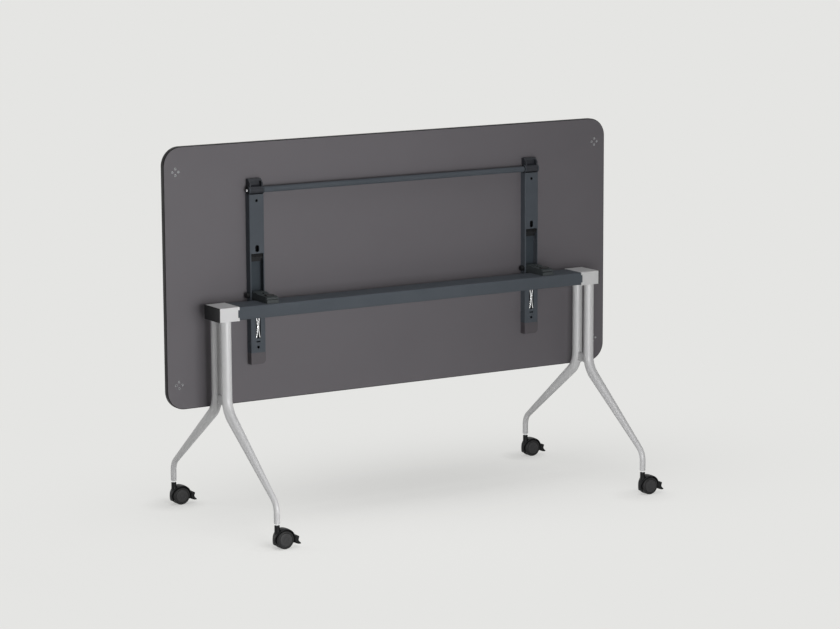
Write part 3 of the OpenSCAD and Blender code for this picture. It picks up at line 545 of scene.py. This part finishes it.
# %% [markdown]
# ## Linking sleeves
# Four threaded sleeves sit round each link point in the underside, flush with it, for the hardware
# that joins two tables. Each is a turned zinc part with a chamfered rim and a thread whose ridges
# are rings of the profile, half a pitch apart in height, by turns 0.15 mm outside and 0.2 mm
# inside the bore's radius. A true helix would need many more faces and look the same.

# %% Sleeves
SLEEVE_CIRCLE, SLEEVE_R, SLEEVE_LONG = 10.0, 3.7, 12.0
FROM_END, FROM_EDGE = 40.0, 76.0
BORE_R, BORE_DEEP, THREAD_PITCH = 2.5, 11.0, 1.0
THREAD_FROM, THREAD_TO, RIDGE, GROOVE = 0.8, 10.6, -0.2, 0.15
depths = np.arange(THREAD_FROM, THREAD_TO, THREAD_PITCH / 2)
thread = np.column_stack([BORE_R + np.where(np.arange(len(depths)) % 2, RIDGE, GROOVE), depths])
sleeve_profile = np.concatenate([
    [[BORE_R + 0.5, 0.0], [SLEEVE_R - 0.2, 0.0], [SLEEVE_R, 0.2], [SLEEVE_R, SLEEVE_LONG],
     [0.0, SLEEVE_LONG], [0.0, BORE_DEEP], [BORE_R, BORE_DEEP]], thread[::-1]])
sleeves = []
for sx in (-1, 1):
    for sz in (-1, 1):
        x, z = sx * (TOP_HALF[0] - FROM_END), TOP_MIDDLE_Z + sz * (TOP_HALF[1] - FROM_EDGE)
        for dx, dz in ((1, 0), (-1, 0), (0, 1), (0, -1)):
            place = (x + dx * SLEEVE_CIRCLE, UNDERSIDE, z + dz * SLEEVE_CIRCLE)
            sleeves.append((turned(sleeve_profile, place, (0, 1, 0), 24), True))
make_piece("sleeves", sleeves, "top", dull_zinc, ["linking_sleeves"], sharp=30)
print("linking sleeves", len(sleeves))

# %% [markdown]
# ## Castor wheels
# Each castor has two wheels. A soft tread with rounded shoulders is moulded round a hard disc, and
# the disc shows from the side as a slightly domed, paler plate inside a fine groove. Both are
# profiles turned about the axle, so that the shoulder is a true arc and the wheel rolls round.

# %% Profiles of a wheel
AXLE_Z, TRAIL, TREAD_R, DISC_R = 28.0, 21.0, 28.0, 20.0
WHEEL_IN, WHEEL_OUT = 5.0, 17.0
AXLE_HOLE_R, AXLE_HOLE_END = 3.1, WHEEL_IN + 9.2
INNER_ROUND, SHOULDER, DISC_ROUND = 1.5, 5.5, 0.7


def arc_points(centre, radius, start, stop, count):
    """Points of an arc, angles in degrees."""
    t = np.radians(np.linspace(start, stop, count))
    return np.asarray(centre, float) + radius * np.column_stack([np.cos(t), np.sin(t)])


tread_profile = np.concatenate([
    [[DISC_R + 0.2, WHEEL_IN + 0.8]],
    arc_points((TREAD_R - INNER_ROUND, WHEEL_IN + INNER_ROUND), INNER_ROUND, -90, 0, 5),
    arc_points((TREAD_R - SHOULDER, WHEEL_OUT - SHOULDER), SHOULDER, 0, 82, 9),
    [[DISC_R + 0.7, WHEEL_OUT - 0.2], [DISC_R + 0.2, WHEEL_OUT - 1.4]]])
disc_profile = np.concatenate([
    [[0.0, AXLE_HOLE_END], [AXLE_HOLE_R, AXLE_HOLE_END], [AXLE_HOLE_R, WHEEL_IN + 0.2],
     [DISC_R - 0.8, WHEEL_IN + 0.2], [DISC_R, WHEEL_IN + 0.6],
     [DISC_R, WHEEL_OUT - DISC_ROUND]],
    arc_points((DISC_R - DISC_ROUND, WHEEL_OUT - DISC_ROUND), DISC_ROUND, 0, 80, 4),
    [[16.5, WHEEL_OUT + 0.3], [12.0, WHEEL_OUT + 0.45], [8.6, WHEEL_OUT + 0.5],
     [8.3, WHEEL_OUT + 0.1], [7.9, WHEEL_OUT + 0.1], [7.6, WHEEL_OUT + 0.55],
     [4.0, WHEEL_OUT + 0.8], [0.0, WHEEL_OUT + 0.9]]])
print("points in the profiles:", len(tread_profile), "and", len(disc_profile))

# %% Wheels
# Nylon moulded with a turned face: dark grey, a little paler than the tread round it.
disc_plastic = grained("grey_wheel_disc", ("#2f2f30", "#343435"), 14, 0.9, 0.00005, 0.5,
                       specular=0.35)
for side, sx in SIDES:
    for end, sy in ENDS:
        for wheel, sw in ENDS:
            hub = [sx * LEG_X + TRAIL, sy * FOOT_Y, AXLE_Z]
            body = f"castor_{side}_{end}_{wheel}_roller"
            cad_node = f"castor_{side}_{end}_wheel_{wheel}"
            make_piece(f"tread_{side}_{end}_{wheel}",
                       [(turned(tread_profile, hub, [0, sw, 0]), True)], body, tread,
                       [cad_node])
            make_piece(f"disc_{side}_{end}_{wheel}",
                       [(turned(disc_profile, hub, [0, sw, 0]), False)], body, disc_plastic,
                       sharp=30)
print("wheels:", len(SIDES) * len(ENDS) * len(ENDS), "each", 2 * TREAD_R, "mm across")

# %% [markdown]
# ## Castor hoods
# The hood is one moulding: a bowed shell over the two wheels, a web between them that holds the
# axle, and an upright housing for the stem. The shell is a rounded strip carried round the axle,
# narrower towards its nose, and crowned across. The housing flares where it runs into the shell,
# and the web is an outline stacked in levels, with its rims rounded.

# %% Outlines stacked into slabs


def smooth_outline(corners, count=72, rounds=3):
    """Corner cutting: each round replaces every side by points a quarter and three quarters along
    it, which rounds the corners. The result is spaced evenly."""
    points = np.asarray(corners, float)
    for _ in range(rounds):
        ahead = np.roll(points, -1, axis=0)
        points = np.stack([0.75 * points + 0.25 * ahead, 0.25 * points + 0.75 * ahead],
                          axis=1).reshape(-1, 2)
    closed = np.concatenate([points, points[:1]])
    along = np.r_[0, np.cumsum(np.linalg.norm(np.diff(closed, axis=0), axis=1))]
    even = np.linspace(0, along[-1], count, endpoint=False)
    return np.column_stack([np.interp(even, along, closed[:, i]) for i in (0, 1)])


def inset(outline, distance):
    """Moves an outline inwards along its normals. A normal is the tangent turned a quarter, and
    the sign of the outline's area tells which way is inwards."""
    tangent = np.roll(outline, -1, axis=0) - np.roll(outline, 1, axis=0)
    tangent /= np.linalg.norm(tangent, axis=1, keepdims=True)
    x, y = outline.T
    area = np.sum(x * np.roll(y, -1) - np.roll(x, -1) * y)
    return outline + np.sign(area) * distance * np.column_stack([-tangent[:, 1], tangent[:, 0]])


def slab(outline, low, high, edge, steps=4):
    """An outline stacked from low to high with both rims rounded by edge: at height h above a face
    the outline is inset by edge - sqrt(edge^2 - (edge - h)^2). Returns (rings, around, 3) with the
    height last."""
    t = np.linspace(0, np.pi / 2, steps)
    insets = edge - edge * np.sin(t)
    lifts = edge - edge * np.cos(t)
    heights = np.r_[low + lifts, high - lifts[::-1]]
    return np.stack([np.column_stack([inset(outline, d), np.full(len(outline), h)])
                     for d, h in zip(np.r_[insets, insets[::-1]], heights)])


print("corner cutting makes", len(smooth_outline([(0, 0), (1, 0), (1, 1), (0, 1)])),
      "points of a square")

# %% Shell and stem housing
HOOD_IN, HOOD_OUT, HOOD_CROWN = 29.6, 33.0, 1.0
HOOD_FROM, HOOD_TO = -12.0, 205.0
HOOD_X, HOOD_HALF_WIDTH = [-12.0, -8.0, 8.0, 40.0, 54.0], [6.0, 10.0, 16.4, 16.6, 15.2]
HOUSING_R, HOUSING_TOP, STEM_BORE_R, HOUSING_FLARE = 8.0, 72.5, 5.2, 1.8


def hood_shell():
    """Strip centre: axle + r (cos a, sin a) for a from the rear end over the top to the nose. Its
    half width follows x, and the outer side is raised by crown times 1 - (y / width) squared."""
    middle, half_thick = (HOOD_IN + HOOD_OUT) / 2, (HOOD_OUT - HOOD_IN) / 2
    rings = []
    for a in np.radians(np.linspace(HOOD_FROM, HOOD_TO, 64)):
        width = np.interp(TRAIL + middle * np.cos(a), HOOD_X, HOOD_HALF_WIDTH)
        y, rise = rounded_outline(np.array([width, half_thick]), 1.3, 5, 7).T
        r = middle + rise + np.where(rise > 0, HOOD_CROWN, 0) * (1 - (y / width) ** 2)
        rings.append(np.column_stack([TRAIL + r * np.cos(a), y, AXLE_Z + r * np.sin(a)]))
    return np.stack(rings)


def stem_housing():
    """A round tower whose foot follows the middle of the shell: its lowest z is
    axle + sqrt(R^2 - (x - trail)^2), and its radius grows with the fourth power of the way down."""
    t = np.linspace(0, 2 * np.pi, AROUND, endpoint=False)
    middle = (HOOD_IN + HOOD_OUT) / 2 - 0.4
    rings = [np.column_stack([STEM_BORE_R * np.cos(t), STEM_BORE_R * np.sin(t),
                              np.full(AROUND, HOUSING_TOP)])]
    for drop, radius in ((0.0, HOUSING_R - 1.0), (0.3, HOUSING_R - 0.3), (1.0, HOUSING_R)):
        rings.append(np.column_stack([radius * np.cos(t), radius * np.sin(t),
                                      np.full(AROUND, HOUSING_TOP - drop)]))
    for v in np.linspace(0, 1, 14)[1:]:
        radius = HOUSING_R + HOUSING_FLARE * v ** 4
        x, y = radius * np.cos(t), radius * np.sin(t)
        foot = AXLE_Z + np.sqrt(middle ** 2 - (x - TRAIL) ** 2)
        rings.append(np.column_stack([x, y, (1 - v) * (HOUSING_TOP - 1.0) + v * foot]))
    return np.stack(rings)


print("hood shell:", hood_shell().shape[:2], "stem housing:", stem_housing().shape[:2])

# %% Webs and hoods
WEB_HALF, FORK_HALF, CORE_HALF = 4.6, 2.4, 2.5
PEDAL_PIVOT = np.array([43.0, 18.0])
cheek_outline = np.concatenate([
    arc_points((TRAIL, AXLE_Z), HOOD_IN + 0.9, HOOD_FROM, HOOD_TO, 40),
    arc_points((TRAIL, AXLE_Z), 7.0, 215, 290, 8),
    arc_points(PEDAL_PIVOT, 5.0, 240, 350, 8)])
core_outline = np.concatenate([
    arc_points((TRAIL, AXLE_Z), HOOD_IN + 0.9, -2.0, HOOD_TO, 40),
    arc_points((TRAIL, AXLE_Z), 7.0, 215, 290, 8), [[38.0, 20.5], [38.0, 26.9]]])
# Nylon filled with glass fibre, moulded: black and just glossy enough to show its crown.
hood_plastic = grained("black_glass_filled_nylon", ("#0d0e0f", "#121315"), 12, 0.9, 0.00008, 0.42,
                       specular=0.2)


def at_castor(points, sx, sy):
    """From the swivel axis to its place under a leg."""
    return points + np.array([sx * LEG_X, sy * FOOT_Y, 0.0])


web = [slab(cheek_outline, FORK_HALF, WEB_HALF, 0.5),
       slab(cheek_outline, -WEB_HALF, -FORK_HALF, 0.5),
       slab(core_outline, -CORE_HALF, CORE_HALF, 0.05)]
for side, sx in SIDES:
    for end, sy in ENDS:
        make_piece(f"hood_{side}_{end}",
                   [(at_castor(hood_shell(), sx, sy), False),
                    (at_castor(stem_housing(), sx, sy), False)]
                   + [(at_castor(plate[:, :, [0, 2, 1]], sx, sy), False) for plate in web],
                   f"castor_{side}_{end}_swivel", hood_plastic,
                   [f"castor_{side}_{end}_hood"], sharp=50)
print("hoods:", len(SIDES) * len(ENDS), "with webs", 2 * WEB_HALF, "mm thick")

# %% [markdown]
# ## Brake pedals
# Behind each hood a crescent lever takes the toe: an upper lobe to release and a lower tip to
# lock. Its outline is a ring of corners rounded by corner cutting, stacked across its width with
# soft rims, and a narrow tongue reaches into the web's fork.

# %% Pedals
PEDAL_HALF, PEDAL_EDGE, TONGUE_HALF, TONGUE_EDGE = 13.0, 1.6, 2.1, 0.4
pedal_outline = smooth_outline([
    (55.0, 14.0), (55.8, 31.5), (58.6, 35.8), (65.2, 36.0), (68.4, 32.6), (67.0, 28.6),
    (65.2, 24.0), (67.0, 18.6), (71.8, 15.0), (74.2, 12.0), (73.2, 10.2), (67.0, 9.8),
    (59.0, 12.2)])
tongue_outline = smooth_outline([
    (39.5, 14.5), (39.5, 21.5), (46.0, 22.5), (58.0, 24.0), (58.0, 13.0), (46.0, 13.5)], 40)
lobes = slab(pedal_outline, -PEDAL_HALF, PEDAL_HALF, PEDAL_EDGE)[:, :, [0, 2, 1]]
tongue = slab(tongue_outline, -TONGUE_HALF, TONGUE_HALF, TONGUE_EDGE)[:, :, [0, 2, 1]]
for side, sx in SIDES:
    for end, sy in ENDS:
        make_piece(f"pedal_{side}_{end}", [(at_castor(lobes, sx, sy), False),
                                           (at_castor(tongue, sx, sy), False)],
                   f"castor_{side}_{end}_brake", hood_plastic,
                   [f"castor_{side}_{end}_pedal"], sharp=50)
print("pedals:", len(SIDES) * len(ENDS), "each", 2 * PEDAL_HALF, "mm wide")

# %% [markdown]
# ## Rod, pins and screws
# Turned parts have small chamfers, and a screw has a domed head with a six-sided recess. The
# recess is the turned profile's inner rings pulled onto a hexagon: the radius at angle t is
# r cos 30 / cos(t mod 60 - 30), in degrees.

# %% Shafts and screws


def shaft(radius, start, stop, chamfer=0.4):
    """Profile of a plain shaft with chamfered ends and closed faces."""
    return np.array([[0.0, start], [radius - chamfer, start], [radius, start + chamfer],
                     [radius, stop - chamfer], [radius - chamfer, stop], [0.0, stop]])


def screw(place, axis, head_r, head_h, shank_r, shank_l, recess=1.9, count=48):
    """A screw whose head's seat is at place and whose head points along axis. The shank's points
    come first in its profile, and only the recess after them is made six-sided."""
    shank = [[0.0, -shank_l], [shank_r - 0.8, -shank_l], [shank_r, -shank_l + 1.0],
             [shank_r, 0.0], [head_r - 0.3, 0.0]]
    arc = np.linspace(0, np.pi / 2, 6)
    dome = np.column_stack([head_r - head_h * 0.7 * (1 - np.cos(arc)),
                            head_h * (0.3 + 0.7 * np.sin(arc))])
    socket = [[recess + 0.3, head_h], [recess, head_h - 0.2], [recess, head_h * 0.35],
              [0.0, head_h * 0.3]]
    profile = np.concatenate([shank, dome, socket])
    rings = turned(profile, place, axis, count)
    centre = np.asarray(place, float) + profile[:, 1, None, None] * np.asarray(axis, float)
    t = np.linspace(0, 360, count, endpoint=False)
    hexagon = np.cos(np.radians(30)) / np.cos(np.radians(t % 60 - 30))
    inner = profile[:, 0] <= recess + 0.01
    inner[:len(shank)] = False
    rings[inner] = centre[inner] + (rings[inner] - centre[inner]) * hexagon[:, None]
    return rings


print("a shaft's profile has", len(shaft(2.0, 0.0, 10.0)), "points")

# %% Rod and its ends
ROD_Y, ROD_Z, ROD_END, ROD_R = PIVOT_Y - 2.2, PIVOT_Z + 321.5, 526.8, 9.0
WASHER_THICK = 1.5
make_piece("rod_tube", [(turned(shaft(ROD_R, -ROD_END, ROD_END, 0.5), (0, ROD_Y, ROD_Z),
                                (1, 0, 0)), False)],
           "release", anthracite_coat, ["release_rod"])
washer_profile = np.array([[2.6, 0.0], [7.7, 0.0], [8.0, 0.3], [8.0, 1.2], [7.7, WASHER_THICK],
                           [2.6, WASHER_THICK]])
make_piece("rod_washers", [
    (turned(washer_profile, (sx * ROD_END, ROD_Y, ROD_Z), (sx, 0, 0)), True) for sx in (-1, 1)],
    "release", black_plastic, ["rod_end_washers"])
make_piece("rod_screws", [
    (screw((sx * (ROD_END + WASHER_THICK), ROD_Y, ROD_Z), (sx, 0, 0), 4.3, 2.7, 2.5, 16.0), False)
    for sx in (-1, 1)], "release", plating, ["rod_end_screws"])
print("rod:", 2 * ROD_END, "mm long,", 2 * ROD_R, "mm across")

# %% Screws of rails and brackets
RAIL_X, BASE_PLATE = 500.0, 2.0
PLATE_FRONT = UNDERSIDE - BASE_PLATE
PLATE_SCREW_ZS = (290.0, 143.0, -161.0)
BEAM_BOLT_YS, BEAM_BOLT_Z = (8.0, 32.0), PIVOT_Z - 4.0
make_piece("plate_screws", [
    (screw((sx * RAIL_X, PLATE_FRONT, PIVOT_Z + z), (0, -1, 0), 5.0, 2.8, 2.5, 13.0), False)
    for sx in (-1, 1) for z in PLATE_SCREW_ZS], "top", plating, ["rail_screws"])
make_piece("beam_bolts", [
    (screw((sx * RAIL_X, y, BEAM_BOLT_Z), (0, 0, 1), 5.5, 4.0, 3.0, 10.5, 2.2), False)
    for sx in (-1, 1) for y in BEAM_BOLT_YS], "frame", plating, ["bracket_bolts"])
print("plate screws:", 2 * len(PLATE_SCREW_ZS), "bracket bolts:", 2 * len(BEAM_BOLT_YS))

# %% Hinge pins and their bosses
pin_profile = np.array([
    [0.0, -33.0], [3.6, -33.0], [4.0, -32.6], [4.0, 25.0], [6.1, 25.0], [6.5, 25.4], [6.5, 27.4],
    [5.9, 28.0], [0.0, 28.0]])
boss_profile = np.array([
    [4.05, -26.0], [8.4, -25.0], [8.7, -25.3], [8.7, -34.4], [7.2, -36.0], [0.0, -36.0],
    [0.0, -33.5], [4.05, -33.5]])
make_piece("pins", [(turned(pin_profile, (sx * RAIL_X, PIVOT_Y, PIVOT_Z), (1, 0, 0)), False)
                    for sx in (-1, 1)],
           "top", plating, ["hinge_pins"], sharp=35)
make_piece("bosses", [(turned(boss_profile, (sx * RAIL_X, PIVOT_Y, PIVOT_Z), (1, 0, 0)), False)
                      for sx in (-1, 1)],
           "top", black_plastic, ["hinge_bosses"], sharp=35)
print("hinge axis", (PIVOT_Y, PIVOT_Z))

# %% [markdown]
# ## Hold-up springs
# Two strips of spring steel are bowed back to back on one rivet. Each centre line is an arc, so
# their tips stand apart: x = 2 + R - sqrt(R^2 - z^2), with R from the half length and the bow.
# They are drawn 3 mm thick, nearly twice what they are, or they would vanish in a picture of the
# whole table.

# %% Springs
RAIL_DEEP = 25.0
WEB_FRONT = UNDERSIDE - RAIL_DEEP
SPRING_Z, SPRING_HALF, SPRING_BOW, SPRING_APART = PIVOT_Z - 99.0, 32.6, 4.0, 2.0
STRIP_HALF, STRIP_Y = np.array([1.5, 2.6]), WEB_FRONT + 3.2
RIVET_R, RIVET_HEAD_R, RIVET_LONG, RIVET_DOME = 3.0, 4.2, 22.4, 1.3
spring_r = (SPRING_HALF ** 2 + SPRING_BOW ** 2) / 2 / SPRING_BOW
run = np.linspace(-SPRING_HALF, SPRING_HALF, 49)
bowed = SPRING_APART + spring_r - np.sqrt(spring_r ** 2 - run ** 2)
strip = rounded_outline(STRIP_HALF, 0.3, 4, 4)
rivet = np.concatenate([
    [[0.0, 0.0], [RIVET_R, 0.0], [RIVET_R, RIVET_LONG], [RIVET_HEAD_R, RIVET_LONG]],
    np.column_stack([RIVET_HEAD_R * np.cos(quarter),
                     RIVET_LONG + 0.2 + RIVET_DOME * np.sin(quarter)])])
for side, sx in SIDES:
    skins = [(turned(rivet, (sx * RAIL_X, PLATE_FRONT, SPRING_Z), (0, -1, 0), 40), False)]
    for bow in (-1, 1):
        path = np.column_stack([sx * RAIL_X + bow * bowed, np.full(len(run), STRIP_Y),
                                SPRING_Z + run])
        skins.append((carried(strip, path, ACROSS), False))
    make_piece(f"springs_{side}", skins, "top", plating,
               ["hold_up_springs"] if side == "left" else [])
print("spring strips bend to a radius of", round(spring_r), "mm")

# %% [markdown]
# ## Castor stems
# A plated stem runs up into each foot, and its collar shows as a bright ring under the leg. It is
# turned like the screws, with the collar and its chamfers in the profile.

# %% Stems
stem_profile = np.array([
    [0.0, 52.0], [3.5, 52.0], [4.0, 52.5], [4.0, 72.9], [5.0, 72.9], [5.4, 73.3], [5.4, 77.5],
    [5.0, 77.9], [4.0, 77.9], [4.0, 105.5], [3.5, 106.0], [0.0, 106.0]])
make_piece("stems", [(turned(stem_profile, (sx * LEG_X, sy * FOOT_Y, 0.0), (0, 0, 1), 40), False)
                     for sx in (-1, 1) for sy in (-1, 1)],
           "frame", plating, ["castor_stems"], sharp=35)
print("stems:", len(SIDES) * len(ENDS))

# %% [markdown]
# ## The floor
# The table stands in a pale studio. What the camera sees of the floor is an even warm white: paper
# that glows by itself, so no lamp has to burn the picture out. Under the table a share of the lit
# floor takes the place of an equal part of that white, so the table's shadow shows and the open
# floor stays even. The share falls off as exp(-d squared), with d the distance from the table's
# middle in reaches, and a small share of the same kind round each castor grounds it. Light Path
# gives this floor to rays from the camera, off shiny parts and through glass; all other light
# falls on the plain lit floor.

# %% Arithmetic in a shader


def math(owner, operation, first, second=0.0):
    """One step of arithmetic in a node tree."""
    return node(owner, "Math", {0: first, 1: second}, operation=operation).outputs[0]


def nearness(material, place, middle, reach):
    """exp(-d squared), with d the distance from the middle counted in reaches."""
    offset = node(material, "VectorMath", {0: place, 1: middle}, operation="SUBTRACT").outputs[0]
    apart = node(material, "VectorMath", {0: offset, 1: reach}, operation="DIVIDE").outputs[0]
    distance = node(material, "VectorMath", {0: apart}, operation="LENGTH").outputs["Value"]
    square = math(material, "MULTIPLY", distance, distance)
    return math(material, "EXPONENT", math(material, "MULTIPLY", square, -1.0))


def direct_rays(owner):
    """1 for a ray from the camera, off a shiny surface or through glass, and 0 for all others."""
    ray = node(owner, "LightPath").outputs
    return math(owner, "MAXIMUM", ray["Is Camera Ray"],
                math(owner, "MAXIMUM", ray["Is Glossy Ray"], ray["Is Transmission Ray"]))


print("the share is halved", round(float(np.sqrt(np.log(2))), 2), "reaches from the middle")

# %% Floor
SEEN_WHITE = "#e5e5e3"
FLOOR_TONES = ("#f4f4f2", "#f6f6f4")
FLOOR_SIZE, FLOOR_CLOUD_MM = 160.0, 900.0
SHADOW_SHARE, OPEN_LEVEL = 0.8, 0.62
SHADOW_MIDDLE, SHADOW_REACH = (0.12, 0.1, 0.0), (0.8, 0.5, 1.0)
CASTOR_SPOT, CASTOR_REACH = (0.65, 0.337, 0.0), (0.1, 0.1, 1.0)
BLACK = (0.0, 0.0, 0.0, 1.0)
bpy.ops.mesh.primitive_plane_add(size=FLOOR_SIZE)
floor = bpy.context.object
floor.name = "floor"
material, place = new_material("studio_floor")
cloud = noise(material, place, FLOOR_CLOUD_MM)
tones = [linear(tone) for tone in FLOOR_TONES]
lit = node(material, "BsdfDiffuse", {"Color": mixed(material, cloud, *tones)})
folded = node(material, "VectorMath", {0: place}, operation="ABSOLUTE").outputs[0]
near = math(material, "MAXIMUM", nearness(material, place, SHADOW_MIDDLE, SHADOW_REACH),
            nearness(material, folded, CASTOR_SPOT, CASTOR_REACH))
share = math(material, "MULTIPLY", near, SHADOW_SHARE)
shaded = node(material, "BsdfDiffuse", {"Color": mixed(material, share, BLACK, tones[0])})
glow = math(material, "SUBTRACT", 1.0, math(material, "MULTIPLY", share, OPEN_LEVEL))
paper = node(material, "Emission", {"Color": linear(SEEN_WHITE), "Strength": glow})
seen = node(material, "AddShader", {0: shaded.outputs[0], 1: paper.outputs[0]})
floor.data.materials.append(finish_material(material, node(
    material, "MixShader", {0: direct_rays(material), 1: lit.outputs[0], 2: seen.outputs[0]})))
print("floor:", FLOOR_SIZE, "m, seen as", SEEN_WHITE)

# %% [markdown]
# ## The light
# A low softbox in front of the table's left half makes the top grow darker to the right, keeps the
# left walls of the rails dark and lays a soft shadow under the beam. One overhead lays the table's
# shadow on the floor. A weak one low behind the left side draws a bright line along the legs' left
# edges; the top itself keeps it off the rails. Each is an area lamp turned to its aim and left out
# of the camera's sight.

# %% Softboxes
# Name, place, aim and size in metres, and power in watts.
SOFTBOXES = (
    ("key", (-0.6, -2.35, 0.72), (-0.35, 0.0, 0.62), (1.2, 1.0), 35.0),
    ("overhead", (-0.4, -0.42, 3.4), (0.0, 0.1, 0.0), (2.5, 1.9), 25.0),
    ("side", (-2.6, 1.3, 0.6), (-0.6, -0.1, 0.4), (1.4, 1.0), 12.0),
)


def softbox(name, place, aim, size, power):
    """A soft light of size metres at place, turned to aim and left out of the camera's sight."""
    data = bpy.data.lights.new(name, "AREA")
    data.shape = "RECTANGLE"
    data.size, data.size_y = size
    data.energy = power
    box = bpy.data.objects.new(name, data)
    box.location = place
    box.rotation_euler = (Vector(aim) - Vector(place)).to_track_quat("-Z", "Y").to_euler()
    box.visible_camera = False
    bpy.context.scene.collection.objects.link(box)


bpy.context.scene.view_settings.view_transform = "Standard"
for row in SOFTBOXES:
    softbox(*row)
print("softboxes:", len(SOFTBOXES))

# %% [markdown]
# ## Flag and room
# In a studio, a flag is a black cloth that keeps light off the surfaces that should stay dark.
# This one of felt stands at the left, out of sight, and darkens what faces that way. The room
# gives a little even light from all round. Seen by the camera or in a shiny part, it is the same
# white as the floor, so no horizon shows from any side.

# %% Flag
FLAG_X, FLAG_Y, FLAG_TOP = (-1.35, -1.75), (-0.2, -3.4), 2.4
cloth, _ = new_material("black_felt")
finish_material(cloth, node(cloth, "BsdfDiffuse", {"Color": linear("#0c0c0c")}))
flag_mesh = bpy.data.meshes.new("flag")
flag_mesh.from_pydata([(FLAG_X[0], FLAG_Y[0], 0.0), (FLAG_X[1], FLAG_Y[1], 0.0),
                       (FLAG_X[1], FLAG_Y[1], FLAG_TOP), (FLAG_X[0], FLAG_Y[0], FLAG_TOP)], [],
                      [(0, 1, 2, 3)])
flag_mesh.materials.append(cloth)
flag = bpy.data.objects.new("flag", flag_mesh)
flag.visible_camera = False
flag.visible_glossy = False
bpy.context.scene.collection.objects.link(flag)
print("flag:", FLAG_TOP, "m high")

# %% Room
ROOM_LIGHT = 0.11
world = bpy.data.worlds.new("studio")
bpy.context.scene.world = world
world.use_nodes = True
world.node_tree.nodes.clear()
air = node(world, "Background", {"Color": tones[0], "Strength": ROOM_LIGHT})
backdrop = node(world, "Background", {"Color": linear(SEEN_WHITE), "Strength": 1.0})
room = node(world, "MixShader", {0: direct_rays(world), 1: air.outputs[0],
                                 2: backdrop.outputs[0]})
node(world, "OutputWorld", {"Surface": room.outputs[0]})
print("room light:", ROOM_LIGHT)
